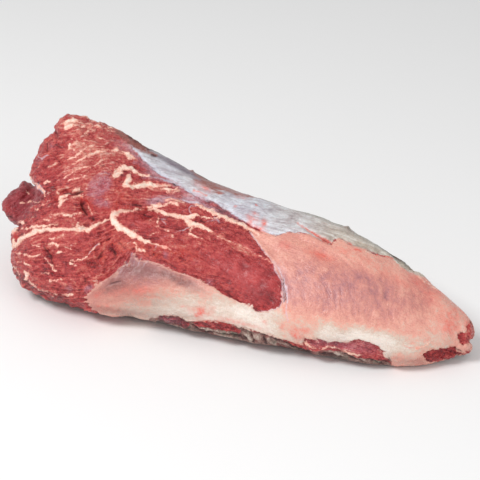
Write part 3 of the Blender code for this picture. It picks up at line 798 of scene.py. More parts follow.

# %% [markdown]
# ## Tones, veils, blood and clefts
#
# Within one tissue the colour drifts: the oval muscle is deep crimson and the cut muscles are lighter, the
# fascia goes from purple-grey over salmon to cream, the silverskin from blue-white to a warm grey. A few
# listed samples hold each drift. Thin purple film, spots of fresh blood and the dark insides of
# clefts are drawn on top.

# %% Tone of the muscle, 0 deep crimson to 1 pale
MUSCLE_TONE = (
    (62, 120, 0.5), (100, 128, 0.49), (58, 140, 0.43), (85, 142, 0.65), (100, 165, 0.63), (75, 165, 0.64),
    (45, 172, 0.42), (60, 190, 0.41), (85, 185, 0.57), (60, 214, 0.46), (40, 215, 0.45), (85, 222, 0.46),
    (35, 245, 0.46), (60, 248, 0.5), (85, 250, 0.44), (30, 266, 0.44), (60, 272, 0.38), (80, 285, 0.44),
    (55, 290, 0.4), (100, 295, 0.4), (105, 252, 0.4), (120, 240, 0.46), (22, 203, 0.16), (6, 212, 0.4),
    (112, 188, 0.5), (140, 176, 0.38), (122, 178, 0.36), (125, 145, 0.62), (150, 196, 0.52),
    (125, 200, 0.54), (175, 193, 0.48), (140, 222, 0.38), (165, 232, 0.38), (190, 245, 0.44),
    (160, 252, 0.44), (215, 255, 0.42), (235, 275, 0.36), (262, 270, 0.34), (268, 296, 0.27),
    (245, 300, 0.31), (250, 244, 0.33), (220, 226, 0.36), (200, 270, 0.38), (460, 338, 0.36),
    (467, 325, 0.62), (320, 343, 0.4), (355, 346, 0.46), (440, 352, 0.32), (206, 326, 0.26),
    (230, 329, 0.34), (170, 321, 0.1), (35, 196, 0.18), (28, 210, 0.18), (12, 200, 0.22), (99, 235, 0.34),
)
tone = placed_values(pixels, MUSCLE_TONE, reach=15.0)
RIM_BAND = (
    ((209, 231.5, 0.8), (216, 234.5, 1.0), (222.8, 238.4, 0.9), (229.7, 242.2, 1.1), (238, 244.5, 1.4),
     (245.8, 247.5, 1.3), (253.5, 252.1, 1.0), (261, 256.7, 0.8), (268.8, 260.6, 0.6), (272.6, 262.4, 0.5)),
    ((226, 240, 0.6), (236, 248, 2.0), (246, 252, 2.0), (256, 256, 1.0)),
)
HOLLOWS_AND_PAINTED_SHADE = (  # soft hollows and seams, dug into the relief and darkened with painted shade, a few lightened and raised instead: x, y, half width, half height, turn, strength
    (114, 252, 5, 6, 10, 0.14), (101, 257, 6, 3, -40, 0.12), (90, 264, 8, 3, 0, 0.12),
    (119, 243, 5, 2.4, 40, 0.08), (52, 190, 4, 6, 0, 0.2), (84, 208, 3.4, 7, -15, 0.26),
    (76, 196, 10, 2.2, -6, 0.2), (141, 175, 8, 4, 22, 0.08), (122, 178, 3.0, 6, 0, 0.12),
    (45, 172, 8, 8, 0, 0.08), (60, 299, 22, 3.4, 20, 0.24), (28, 284, 13, 4, 42, 0.26),
    (15, 270, 4, 8, -20, 0.2), (48, 273, 16, 3.5, 10, 0.14), (47, 256, 2.6, 8, -20, 0.14),
    (98, 302, 10, 4, 12, 0.16), (60, 146, 5, 5, 0, 0.16), (45, 150, 3, 6, 10, 0.14),
    (106, 166, 5, 3, 0, 0.14), (150, 173, 12, 2, 30, 0.16), (135, 205, 6, 2.2, 0, 0.18),
    (94, 219, 4, 3, 0, 0.22), (197, 223, 6, 3, 20, 0.14), (120, 206, 10, 3, -10, 0.12),
    (8, 214, 6, 4, 0, 0.1), (150, 256, 16, 3, 20, 0.1), (228, 213, 12, 2, 26, 0.14),
    (22, 252, 7, 5, -40, 0.1), (100, 236, 9, 5, 0, 0.08), (69, 124, 7, 4, -16, -0.3),
    (76, 147, 6, 4, -20, -0.14), (90, 152, 12, 3, -24, -0.12), (56, 214, 14, 6, -12, -0.1),
    (40, 222, 10, 2.5, -20, -0.1), (112, 250, 16, 8, -30, -0.08), (136, 176, 5, 3, 20, -0.1),
)
tone += 0.30 * soft_step(stroke_depth(shaken, RIM_BAND), -1.6, 0.8)
# painted shade: the hollows and seams darken the muscle's tone
tone -= soft_spots(pixels + 1.5 * shake, HOLLOWS_AND_PAINTED_SHADE)
# painted shade: the muscle is lighter on its lumps and darker between them
tone += 0.045 * lumps + 0.055 * lumps_small
tone += with_back(0.0, 0.05 * lumps_large)

# %% How much marbling streaks the muscle, 0 none to 1 dense
MARBLING = (
    (66, 122, 0.72), (95, 128, 0.6), (58, 142, 0.4), (85, 145, 0.76), (80, 165, 1.0), (105, 160, 0.9),
    (45, 172, 0.55), (85, 182, 0.85), (110, 190, 0.45), (125, 152, 0.7), (140, 178, 0.35), (50, 210, 0.7),
    (80, 216, 0.65), (30, 220, 0.6), (20, 203, 0.2), (40, 243, 0.62), (65, 250, 0.5), (90, 244, 0.3),
    (35, 262, 0.5), (55, 285, 0.4), (85, 280, 0.35), (108, 252, 0.35), (120, 200, 0.5), (160, 195, 0.7),
    (150, 228, 0.25), (185, 240, 0.22), (150, 254, 0.6), (215, 262, 0.1), (250, 285, 0.1),
    (245, 245, 0.06), (200, 222, 0.4), (460, 338, 0.1), (340, 346, 0.7), (206, 326, 0.3),
)
MARBLING_BEHIND = 0.5
marbled = with_back(placed_values(pixels, MARBLING, reach=16.0), MARBLING_BEHIND)

# %% Where the cut has torn the muscle instead of slicing it
TORN_SPOTS = (
    (108, 250, 22, 13, -35, 1.0), (150, 252, 22, 8, 18, 1.0), (184, 256, 18, 9, 22, 0.85),
    (86, 205, 7, 8, 0, 0.6), (122, 198, 14, 10, 0, 0.75), (118, 180, 6, 8, 0, 0.4), (52, 142, 7, 9, 0, 0.7),
    (92, 288, 16, 9, -15, 0.65), (60, 192, 10, 5, 0, 0.5), (40, 284, 16, 5, 35, 0.5),
    (9, 212, 8, 6, 0, 0.8), (200, 226, 10, 5, 10, 0.4), (172, 200, 10, 4, 0, 0.5), (70, 130, 8, 6, 0, 0.3),
)
SLEEK_SPOTS = ((262, 286, 20, 22, 30, 0.8), (238, 270, 24, 14, 30, 0.6), (246, 246, 12, 5, 30, 0.4),
               (215, 262, 18, 8, 30, 0.4), (75, 236, 14, 7, 0, 0.3), (140, 224, 16, 7, 10, 0.3))
torn = np.clip(soft_spots(pixels, TORN_SPOTS), 0.0, 1.0) * show_share
sleek = np.clip(soft_spots(pixels, SLEEK_SPOTS), 0.0, 0.8) * show_share
# painted light and shade: torn muscle is lighter on its crests and darker in its pits
tone += torn * 0.16 * crag
print("marbling", round(float(marbled.mean()), 2), " torn on", int((torn > 0.5).sum()), "points")

# %% Thickness of the coat's fat, 0 purple-grey fascia to 1 cream
COAT_TONE = (
    (96, 297, 0.42), (108, 288, 0.36), (118, 279, 0.2), (134, 266, 0.1), (150, 268, 0.2),
    (140, 280, 0.2), (165, 278, 0.3), (185, 284, 0.36), (205, 292, 0.48), (130, 303, 0.72),
    (112, 302, 0.58), (160, 302, 0.8), (190, 302, 0.84), (225, 300, 0.66), (215, 310, 0.9),
    (245, 316, 0.9), (270, 320, 0.8), (290, 318, 0.6), (120, 290, 0.52), (145, 290, 0.54),
    (170, 290, 0.6), (176, 301, 0.86), (262, 328, 0.9), (300, 330, 0.74), (330, 333, 0.9),
    (360, 336, 1.0), (385, 346, 1.0), (405, 348, 0.9), (425, 345, 0.74), (445, 340, 0.7),
    (455, 333, 0.66), (400, 362, 0.46), (425, 361, 0.44), (465, 347, 0.46), (290, 240, 0.44),
    (275, 248, 0.46), (300, 248, 0.5), (322, 256, 0.42), (345, 255, 0.56), (375, 262, 0.56),
    (400, 275, 0.52), (340, 272, 0.34), (310, 275, 0.33), (295, 265, 0.38), (293, 290, 0.29),
    (320, 292, 0.26), (345, 290, 0.25), (365, 288, 0.26), (388, 292, 0.28), (405, 298, 0.31),
    (422, 305, 0.36), (420, 290, 0.44), (440, 305, 0.58), (452, 318, 0.64), (440, 322, 0.6),
    (415, 322, 0.46), (390, 312, 0.36), (360, 308, 0.34), (330, 306, 0.32), (305, 306, 0.35),
    (345, 318, 0.44), (372, 322, 0.44), (400, 328, 0.52), (310, 318, 0.54), (420, 334, 0.52),
)
cream = with_back(placed_values(pixels, COAT_TONE, reach=12.0), 0.46 + 0.20 * lumps_large + 0.10 * lumps)
THICK_SPOTS = ((262, 322, 16, 4, 15, 0.1), (225, 306, 22, 5, 14, 0.1), (360, 337, 30, 5, 8, 0.1))
cream += soft_spots(pixels, THICK_SPOTS)

# %% [markdown]
# Over the middle of the fascia, fine fat forms a web of paler threads with purple meshes between them, a
# little taller than wide. And in a few spots, most of them near the left end, the coat is darker, dull
# and grey.

# %% Web and dull places of the coat
WEB_WIDE = 5.2
WEB_TALL = 9.0
WEB_SPOTS = ((345, 288, 52, 25, 8, 0.9), (392, 298, 34, 22, 30, 0.8), (302, 288, 20, 24, 0, 0.6))
DEEPEST_MESH = -0.45
DULL_SPOTS = ((140, 271, 26, 9, 12, 0.95), (116, 281, 12, 7, -30, 0.75), (178, 279, 26, 5, 22, 0.55),
              (100, 291, 12, 6, -25, 0.35), (128, 288, 18, 6, 0, 0.4), (130, 312, 50, 3.5, 6, 0.4),
              (140, 297, 44, 13, 4, 0.5), (186, 284, 24, 6, 26, 0.52), (108, 309, 24, 4, 8, 0.3),
              (412, 361, 26, 4, 4, 0.5))
web_places = np.column_stack((pixels[:, 0] / WEB_WIDE, pixels[:, 1] / WEB_TALL, np.zeros(POINT_COUNT)))
web = 0.9 * bumps(web_places, 1.0, seed=9) + 0.4 * np.maximum(crags(web_places, 1.1, seed=10), DEEPEST_MESH)
web *= np.clip(soft_spots(pixels, WEB_SPOTS), 0.0, 1.0)
cream += with_back(0.12 * web, 0.0)
dull = np.clip(soft_spots(pixels + 1.5 * shake, DULL_SPOTS), 0.0, 1.0) * show_share

# %% Warmth of the silverskin, 0 blue-white to 1 warm grey
SILVER_WARMTH = (
    (130, 142, 0.1), (150, 152, 0.3), (150, 160, 0.0), (180, 172, 0.22), (170, 172, 0.0), (200, 190, 0.25),
    (195, 196, 0.15), (225, 200, 0.05), (250, 208, 0.0), (280, 215, 0.15), (300, 222, 0.2), (295, 208, 0.6),
    (320, 220, 0.62), (345, 232, 0.75), (370, 244, 0.85), (395, 256, 0.95), (420, 274, 1.0),
)
warmth = with_back(placed_values(pixels, SILVER_WARMTH, reach=16.0), 0.45 + 0.25 * lumps_large)

# %% Purple film over muscle and fascia
FILM_PATCHES = (
    ((88, 186), (92, 177), (100, 174.4), (109, 176), (113, 182), (110, 190), (103, 195), (94, 199),
     (87, 196)), ((91, 200), (97, 197), (105, 199), (111, 203), (108, 207.4), (100, 208), (94, 205)),
    ((146.4, 203), (152, 199), (159, 196.4), (168, 195.4), (178, 197), (172, 200.4), (162, 203),
     (152, 205.6)), ((66, 288), (70, 283), (73, 290), (68, 294)),
    ((84, 288), (92, 284), (95, 288), (86, 294)), ((164, 252), (168, 253), (168, 259), (163, 258)),
    ((206, 279), (212, 280), (212, 287), (206, 284)),
)
FIBROUS_FILM = ((272, 260), (279, 264), (285, 270), (290, 281), (291, 296), (288.4, 304.6), (283, 303.4),
                (282.4, 292), (281, 281), (277, 275), (274.4, 268))
VEIL_SPOTS = (
    (104, 184, 7, 6, 0, 0.3), (121, 148, 8, 3, 30, 0.55), (128, 272, 12, 9, -30, 0.35),
    (150, 262, 20, 5, 18, 0.15), (350, 290, 40, 18, 6, 0.16), (392, 298, 22, 16, 20, 0.12),
    (300, 286, 12, 20, 0, 0.22), (264, 314, 12, 3, 14, 0.35), (38, 160, 4, 3, 0, 0.3),
    (52, 146, 3, 3, 0, 0.35), (168, 320, 14, 4, 8, 0.4), (196, 262, 5, 4, 0, 0.2),
    (350, 347, 28, 6, 10, 0.5), (322, 343, 12, 4, 0, 0.4), (365, 343, 8, 3, 20, 0.3),
)
film = np.maximum.reduce([area_depth(shaken, patch) for patch in FILM_PATCHES])
fibrous = area_depth(calm, FIBROUS_FILM)
LILAC_LINES = (
    ((189.3, 226, 1.0), (184.4, 229.3, 0.6), (177.4, 231.4, 0.1), (171, 234.9, -0.2), (164.7, 237, 0.0),
     (159, 240.5, -0.2)), ((166, 218.8, 0.4), (161.2, 219, 0.3)), ((161.2, 219, 0.3), (166.1, 224.4, 0.5)),
    ((154.9, 248.2, 0.4), (157, 245.4, 0.4)),
    ((38.3, 156.7, 0.5), (41.3, 158.6, 0.6), (46, 155.5, 0.6), (49, 156, 0.5)),
    ((88.6, 254, 0.5), (94.9, 246.7, 0.5), (98.7, 243.2, 0.5)), ((256.5, 261, 0.0), (260.3, 264, 0.1)),
    ((249.2, 232.2, 0.6), (253.5, 237.8, 0.7), (258.8, 245.2, 0.6), (264.9, 252.9, 0.5),
     (271, 259.8, 0.5), (274.1, 265.1, 0.5), (275, 270.5, 0.6), (278.7, 276.6, 0.7), (281.8, 281.2, 0.6),
     (282.5, 292.7, 0.6), (282, 301, 0.6), (280.6, 305.8, 0.6), (276.4, 308.8, 0.5), (268.8, 311, 0.5),
     (261, 311.2, 0.5)), ((287.2, 285, 0.5), (288, 293, 0.5), (287.4, 301, 0.6)),
    ((284.4, 279, 0.4), (285.6, 290, 0.5)), ((287, 305, 0.5), (286.6, 314, 0.7), (288.6, 322, 0.5)),
    ((192.6, 191.8, 0.6), (199.5, 195.8, 0.9)),
    ((184.9, 200.2, 0.7), (191.8, 202.1, 1.0), (198, 202.6, 0.8)),
    ((188.8, 208, 0.5), (191.8, 205.8, 0.6), (201.8, 206.3, 0.6)),
    ((189, 208.4, 0.5), (189.6, 211.7, 0.5), (191.8, 214, 0.4)),
    ((203.3, 207.4, 0.9), (211, 210.6, 1.0), (219.4, 214.6, 0.9)), ((214, 217, 0.6), (219, 221, 0.6)),
)
lilac = stroke_depth(calm, LILAC_LINES)
FILM_STRANDS = (  # thin film drawn out into strands over the muscle, under the silverskin
    ((119, 142, 1.4), (131, 151, 2.6), (142, 161, 2.0), (152, 170, 1.2)),
    ((134, 162, 0.8), (144, 167, 2.0), (154, 172, 1.8), (162, 176, 1.0)),
    ((144, 177.6, 0.8), (154, 178.4, 2.2), (163, 179.6, 2.4), (172, 181.6, 1.6)),
    ((172, 184, 1.0), (182, 190, 1.8), (192, 196, 2.2), (202, 201, 1.8), (212, 206, 0.8)),
    ((184, 197, 1.2), (196, 200, 1.8), (208, 206, 1.6), (222, 213, 0.9)),
    ((206, 207, 1.0), (220, 211.6, 1.6), (232, 216.6, 1.2), (240, 222, 0.6)),
    ((96, 176, 0.6), (104, 172, 1.0), (112, 174, 0.8)),
    ((150, 203, 0.8), (160, 199, 1.8), (174, 197.6, 1.4)),
)
GLAZED_HIGHLIGHT_STRANDS = (  # pale strands of film, brightened as painted wet highlights: below the silverskin, and where the coat's corner frays
    ((150, 167, 0.5), (158, 172.6, 0.9), (168, 178.6, 0.7)),
    ((150, 177, 0.4), (160, 178.8, 0.8), (172, 181.8, 1.1), (182, 185.2, 0.7)),
    ((180, 187.4, 0.6), (190, 191.6, 1.2), (198, 195.8, 1.5), (207, 199.8, 1.0)),
    ((152, 201, -0.2), (162, 198.4, 0.2), (174, 197.8, 0.4), (184, 198.8, 0.3)),
    ((180, 199.4, 0.3), (188, 200.8, 0.8), (197, 202.8, 1.0), (205, 205.4, 0.5)),
    ((203, 207, 0.7), (212, 211.2, 1.0), (222, 215.8, 0.5)),
    ((206, 222, -0.1), (214, 219.6, 0.2), (220, 222.6, 0.0)),
    ((131, 267, -0.5), (130.8, 260, -0.1), (132, 253, 0.2)),
    ((134, 268, -0.5), (135, 262, -0.1), (136, 256.4, 0.0)),
    ((137, 269, -0.5), (139.4, 263, 0.0), (141, 257, 0.1)),
    ((141, 269, -0.5), (145, 264, -0.1), (149, 260.6, -0.1)),
    ((128, 270, -0.5), (127.6, 264, 0.0), (126.4, 261, 0.1)),
    ((120, 276, -0.4), (122.6, 270, -0.1), (124, 266, 0.0)),
    ((31, 178, 0.5), (34.6, 183.6, 1.1), (39.4, 187.4, 1.6), (43, 192, 1.2)),
    ((274, 262, 0.0), (279.4, 270, 0.3), (284, 280, 0.4), (287, 292, 0.5), (287.4, 303, 0.2)),
    ((282.6, 282, 0.2), (284.6, 292, 0.5), (284, 303, 0.3)),
    ((276, 254, -0.5), (284, 266, -0.2), (289, 276, -0.4)),
)
GLAZED_HIGHLIGHT_SPOTS = ((160, 199.4, 13, 3.2, -12, 0.46), (188, 199, 12, 3, 14, 0.36), (212, 209, 12, 2.6, 24, 0.26),
                (158, 177, 12, 3, 14, 0.34), (146, 166, 9, 2.4, 34, 0.26), (132, 151, 8, 2.4, 38, 0.3),
                (207, 192.6, 8, 2.2, 30, 0.45), (232, 206, 16, 6, 24, 0.34), (172, 173, 24, 3.4, 36, 0.3))
# painted highlights: the glazed strands and spots of film are brightened as if lit on a wet surface
glaze_highlight = soft_step(stroke_depth(shaken, GLAZED_HIGHLIGHT_STRANDS), -0.9, 0.9)
glaze_highlight = np.maximum(glaze_highlight, soft_spots(pixels, GLAZED_HIGHLIGHT_SPOTS) * (1.0 + 0.4 * strand))
glaze_highlight = np.clip(glaze_highlight, 0.0, 1.0) * show_share
veil = np.maximum.reduce((
    soft_step(film, -1.6, 2.2) * (0.66 + 0.22 * strand + 0.10 * fibre),
    soft_spots(pixels, VEIL_SPOTS),
    soft_step(stroke_depth(shaken, FILM_STRANDS), -1.0, 1.2) * (0.62 + 0.25 * strand),
    soft_step(silver, -6.0, -0.5) * soft_step(coat, 0.5, -2.5) * (0.46 + 0.22 * strand),
    0.55 * soft_step(fibrous, -0.5, 1.2),
))
veil = np.clip(veil, 0.0, 1.0) * show_share
print("veil on", int((veil > 0.5).sum()), "points")

# %% Blood: fresh orange-red smears and spots
BLOOD_STROKES = (
    ((156.8, 184.4, 1.4), (160, 184.6, 1.0)),
    ((199, 321.4, 0.3), (208, 320.8, 0.7), (220, 321.8, 0.9), (232, 325, 0.8), (244, 329.2, 0.3)),
    ((146.6, 207.4, 1.2), (146, 210.4, 1.0)),
    ((81, 197, 0.9), (85.7, 200.8, 1.5), (90, 206.4, 1.3), (93, 213, 0.9)),
    ((15, 234, 1.6), (16.4, 237.6, 1.5)), ((193.3, 190.3, 0.4), (200, 193.2, 0.6), (207.1, 196.4, 0.5)),
    ((218.4, 193.6, 1.0), (221, 194.4, 0.9)),
    ((297, 224, 0.5), (306, 229.2, 0.7), (316, 235, 0.9), (324, 240, 1.1), (331, 243.4, 1.3)),
    ((319, 237, 0.8), (325, 240.4, 1.7), (331, 243.6, 1.3)), ((346, 240.6, 0.5), (351, 244.6, 0.7)),
    ((355, 250, 0.8), (361, 252.4, 0.8)), ((372, 253.6, 0.5), (392, 259.6, 1.1)),
    ((256.4, 206.2, 0.8), (257.2, 206.6, 0.8)), ((234.6, 207, 0.9), (236.4, 207.6, 0.8)),
    ((284, 306.5, 0.4), (285.4, 311.8, 0.3)), ((290, 306.5, 0.4), (291, 311.8, 0.3)),
    ((198, 310.4, 0.4), (200.6, 314.4, 0.5)), ((296, 334.6, 0.5), (301, 337, 0.7)),
    ((402.3, 345.3, 0.2), (408.7, 347.4, 0.3), (413.8, 347, 0.2)),
    ((436, 291.6, 0.3), (443.8, 296, 0.3), (453.3, 302, 0.3), (459.7, 309.6, 0.4), (464.2, 315.6, 0.4)),
)
BLOOD_SPOTS = (
    (252, 219, 6, 2.2, 24, 0.7), (258, 229, 8, 2.4, 26, 0.7), (249, 223, 2.4, 3, 0, 0.7),
    (264, 224, 3, 4, -20, 0.75), (255, 214, 3, 1.6, 20, 0.45), (320, 256, 14, 4.5, 22, 0.6),
    (206, 190, 6, 1.4, 30, 0.35), (240, 198, 8, 1.2, 16, 0.3), (202, 187, 9, 4, 28, 0.3),
    (250, 227, 3, 2, 0, 0.4), (301, 210, 6, 2, 16, 0.2), (200, 196, 5, 2, 28, 0.4),
    (286, 246, 6, 4, 30, 0.35), (142, 290, 11, 4, -4, 0.42), (202, 311, 8, 5, 0, 0.58),
    (298, 334, 8, 5, 20, 0.45), (164, 248, 8, 4, 10, 0.4), (182, 253, 8, 5, 20, 0.3),
    (195, 262, 6, 5, 20, 0.32), (120, 196, 7, 6, 0, 0.3), (118, 208, 6, 4, 0, 0.28),
    (467, 325, 2.5, 4, 0, 0.7), (447, 330, 6, 3.4, -20, 0.3), (452, 309, 5, 6, 40, 0.24),
    (98, 293, 6, 3, -30, 0.35), (240, 322, 24, 2.4, 14, 0.32), (210, 320, 18, 1.8, 0, 0.42),
    (402, 284, 8, 3, 30, 0.22), (448, 322, 6, 10, 0, 0.16), (344, 252, 6, 2.5, 20, 0.35),
    (172, 200, 8, 3, 0, 0.25), (104, 210, 7, 3, 10, 0.3), (40, 287, 8, 3, 32, 0.35), (7, 210, 3, 3, 0, 0.4),
    (208, 252, 6, 8, 20, 0.1), (198, 313, 3, 4, 0, 0.35), (282, 327, 2.4, 3.4, -30, 0.45),
    (297, 334, 5, 3, 30, 0.45), (305, 329.6, 5, 2, 15, 0.5), (265, 322, 3, 1.8, 30, 0.45),
    (108, 305, 3, 1.6, 15, 0.45), (183, 306, 2.4, 1.2, 0, 0.45), (98, 305.4, 2, 1.2, 0, 0.45),
    (426, 340, 2.6, 1.4, -40, 0.4), (418, 281, 14, 4, 38, 0.34), (438, 296, 10, 4, 42, 0.22),
    (212, 309, 3, 3, 0, 0.28), (190, 308, 3, 3, 0, 0.28), (300, 343, 6, 2, 20, 0.35),
    (120, 292, 14, 4, -14, 0.24), (262, 309, 6, 1.4, 10, 0.35), (452, 322, 12, 14, 30, 0.36),
    (428, 296, 18, 8, 40, 0.22), (380, 270, 30, 6, 28, 0.2), (160, 184.6, 4, 2, 0, 0.5),
)
blood_spots = np.clip(1.25 * soft_spots(pixels + 1.2 * shake, BLOOD_SPOTS), 0.0, 1.0)
blood = np.maximum(soft_step(stroke_depth(shaken, BLOOD_STROKES), -0.7, 0.7), blood_spots) * show_share

# %% Clefts, darkened with painted shade, and dark lines: how deep each looks in millimetres, then x, y and half width in pixels
CLEFTS = {
    "cleft near the cut end": (1.4, ((48.6, 151.4, 0.0), (53.6, 155.9, 0.1), (58, 160.5, 0.3),
        (60, 164, 0.1))),
    "red spot in the silverskin": (0.4, ((151.4, 155.6, 1.0), (154.6, 156.8, 1.2))),
    "slit at the streak's end": (0.8, ((171.6, 183.2, 0.3), (174.6, 183.8, 0.8), (178, 185, 0.2))),
    "slit under the pale lump": (2.2, ((70.6, 194.2, 0.6), (77, 193.6, 1.1), (83, 191.6, 0.7))),
    "slit left of it": (1.0, ((62, 193.6, 0.3), (66, 193.2, 0.6), (70, 193.2, 0.7))),
    "hole behind the strip": (2.6, ((82.6, 203.6, 0.8), (85, 208.7, 1.4), (87.4, 214, 0.8))),
    "round hole": (1.4, ((93.2, 218.4, 0.9), (94.4, 219.6, 0.9))),
    "crack in the lower muscle": (1.6, ((43.6, 245.4, 0.3), (46.6, 251, 0.6), (50, 258, 0.7),
        (53.4, 266, 0.2))),
    "torn hollow, first": (1.2, ((119, 242.4, 0.5), (123, 246, 0.2), (126, 249, 0.3))),
    "torn hollow, second": (1.6, ((112, 249, 0.4), (114, 253, 1.0), (115.6, 257, 0.5))),
    "torn hollow, third": (1.2, ((98, 257.6, 0.4), (101, 254, 0.6), (103.4, 251, 0.2))),
    "torn hollow, fourth": (1.0, ((92, 262.4, 0.3), (96, 262.8, 0.5))),
    "torn hollow, fifth": (1.0, ((84.6, 279, 0.6), (85.4, 284, 0.5))),
    "slit over the hook": (1.2, ((132.8, 205, 0.7), (137, 205, 0.9), (141.4, 206.4, 0.8))),
    "hole in the junction, left": (1.2, ((195, 220.4, 0.9), (195.8, 221.6, 0.8))),
    "hole in the junction, right": (1.2, ((200.4, 220, 0.8), (203.6, 222, 0.9))),
    "slit in the fascia": (0.9, ((110.8, 283.4, 0.3), (116, 281.9, 0.7), (121, 281, 0.3))),
    "line under the silverskin": (0.7, ((208, 206, -0.2), (217, 210.6, 0.0), (227, 214, 0.1),
        (236, 218.2, 0.1), (244, 222.4, 0.0), (252, 227, 0.1), (261, 232.6, 0.1), (268, 236.2, -0.1))),
    "slit in the silverskin": (1.0, ((297, 223.8, -0.4), (310, 231.2, -0.2), (319, 236.6, 0.1),
        (325, 240, 0.4), (331, 243.2, 0.2))),
    "gap in the fibrous film": (0.6, ((283.4, 280, 0.3), (284.4, 290, 0.4), (284.6, 301.6, 0.4))),
    "second gap there": (0.5, ((286.4, 290, 0.2), (286.2, 300, 0.4))),
    "notch before the tip": (1.6, ((382.6, 361.8, 0.5), (387, 362.4, 1.0), (390.6, 361.6, 0.8),
        (389, 358, 0.5))),
    "line over the tip's lip": (0.8, ((454.6, 347.8, 0.4), (457.6, 349.2, 0.6), (461, 349.8, 0.3))),
    "edge of the tip": (0.2, ((466.6, 318.6, -0.3), (470.4, 322, 0.0), (473, 328, -0.2))),
    "notch high on the cut end": (1.0, ((54.6, 130.6, 0.5), (56.4, 133.6, 0.6), (57.4, 136.6, 0.3))),
    "dark dot below it": (0.8, ((59.2, 145.8, 0.7), (60, 147.2, 0.6))),
    "dark line by the lump": (0.7, ((47.6, 142.6, 0.4), (46.8, 148.6, 0.5))),
    "under the lobe": (1.0, ((6, 217.4, 0.6), (10, 217.6, 0.8), (12, 218.6, 0.4))),
    "under the seam's left end": (0.8, ((133, 169.6, 0.2), (137, 166, 0.2))),
    "dark dash above the arch": (0.5, ((102.6, 166, 0.5), (104, 165, 0.4))),
}
CLEFT_SHARE = 0.6  # so much of the depth is dug; painted shade in a dark colour does the rest
shade = np.zeros(POINT_COUNT)
cleft_relief = np.zeros(POINT_COUNT)
for deep, stroke in CLEFTS.values():
    inside = stroke_depth(calm, [stroke])
    shade = np.maximum(shade, soft_step(inside, -0.55, 0.35))
    cleft_relief = np.maximum(cleft_relief, CLEFT_SHARE * deep * soft_step(inside, -3.0, 0.8))
shade *= show_share

# %% [markdown]
# The top edge turns away from the light, and a thin dark line along it is painted shade: dark brown above the
# silverskin, grey-green further right, and almost black where the coat rolls over towards the tip. Bands of
# brown tissue lie along the edge too.

# %% Painted shade and brown bands along the top edge
DARK_EDGE_SHADE_LINE = (((119, 129, -0.6), (125, 133.4, 0.2), (132, 138.6, 0.9), (140, 143.8, 1.1), (150, 150.2, 0.5),
              (165, 156.8, 0.2), (175, 161, 0.1), (184.2, 166, 0.2), (192, 171, 0.1), (199.5, 176, 0.4),
              (207, 179.8, 0.5), (218, 184.4, 0.1), (232, 189.4, -0.1), (243, 192.8, 0.2), (252, 195.4, 0.1),
              (262, 199, -0.6)),
             ((362, 236.8, -0.8), (370, 241.4, -0.1), (382, 248.8, 0.4), (392, 255.6, 0.5), (402, 262.4, 0.2),
              (410, 269.6, -0.6)),
             ((352, 236.6, -1.0), (364, 243.4, -0.6), (376, 250.4, -0.5), (388, 257.4, -0.9)))
GREY_EDGE_SHADE_LINE = (((262, 199.6, 0.2), (280, 204.6, 0.6), (297, 210, 1.8), (318, 216.6, 2.0), (330, 221.4, 1.6),
              (341, 226.4, 1.2)),
             ((345, 228.6, 0.6), (356, 234.6, 1.1), (370, 242, 1.2), (382, 249, 1.2), (392, 255.4, 1.0),
              (402, 261.6, 0.8), (410, 270, 0.2)))
PURPLE_EDGE_SHADE_BAND = (((148, 152, 0.2), (158, 157.6, 1.8), (170, 162.6, 3.0), (182, 168.8, 3.4), (192, 175, 3.0),
                (203, 182.4, 1.6), (216, 188, 0.4)),)
RIDGE_BROWN = (((114, 127, 1.0), (120, 132.6, 2.4), (127, 138.4, 3.2), (134, 143.8, 3.4), (141, 148.4, 2.6),
                (148, 152.4, 1.6), (156, 156, 0.5)),
               ((186, 168, 0.3), (190, 171, 1.0), (195, 174.4, 1.0), (201, 179, 1.6), (209, 184, 2.6),
                (217, 187.6, 2.4), (226, 190.6, 1.9), (234, 193, 1.9), (242, 195.4, 1.5), (252, 198, 0.9)),
               ((194, 180.4, 0.6), (203, 185, 1.6), (211, 189, 1.3), (217, 191.6, 0.4)),
               ((213, 193, 0.3), (219, 193.6, 0.8), (224, 194.6, 0.3)),
               ((250, 195.8, 0.2), (256, 197.6, 0.6), (262, 200, 0.1)),
               ((344, 228.2, 0.3), (349, 230.8, 0.7), (354, 233, 0.1)))
ridge_share = soft_step(facing, -0.12, 0.04)
# painted shade: a dark line along the top edge, where it turns away from the light, fainter where the edge
# faces the camera
dark_edge_shade = soft_step(stroke_depth(calm, DARK_EDGE_SHADE_LINE), -1.6, 0.6) * ridge_share
dark_edge_shade *= 1.0 - 0.6 * soft_step(facing, 0.1, 0.35)
# painted shade: a grey-green line along the top edge further right, where it turns away from the light
grey = soft_step(stroke_depth(calm, GREY_EDGE_SHADE_LINE), -2.4, 1.4) * ridge_share
# painted shade: a band that darkens the silverskin to purple-grey next to the top edge
purple_edge_shade = soft_step(stroke_depth(calm, PURPLE_EDGE_SHADE_BAND), -3.0, 2.2) * show_share
brown = soft_step(stroke_depth(shaken, RIDGE_BROWN), -1.6, 0.8) * show_share
print("clefts:", len(CLEFTS), " dusk on", int((dark_edge_shade > 0.5).sum()), "points")

# %% [markdown]
# ## Relief
#
# The drawings now move the points along their normals, by fractions of a millimetre for fibres and nowhere
# by more than 2.3 mm. Fat stands proud of the muscle with a rounded edge, the coat has a lip where it was
# trimmed, the muscle is lumpy and combed, and the hollow and the hem are torn.

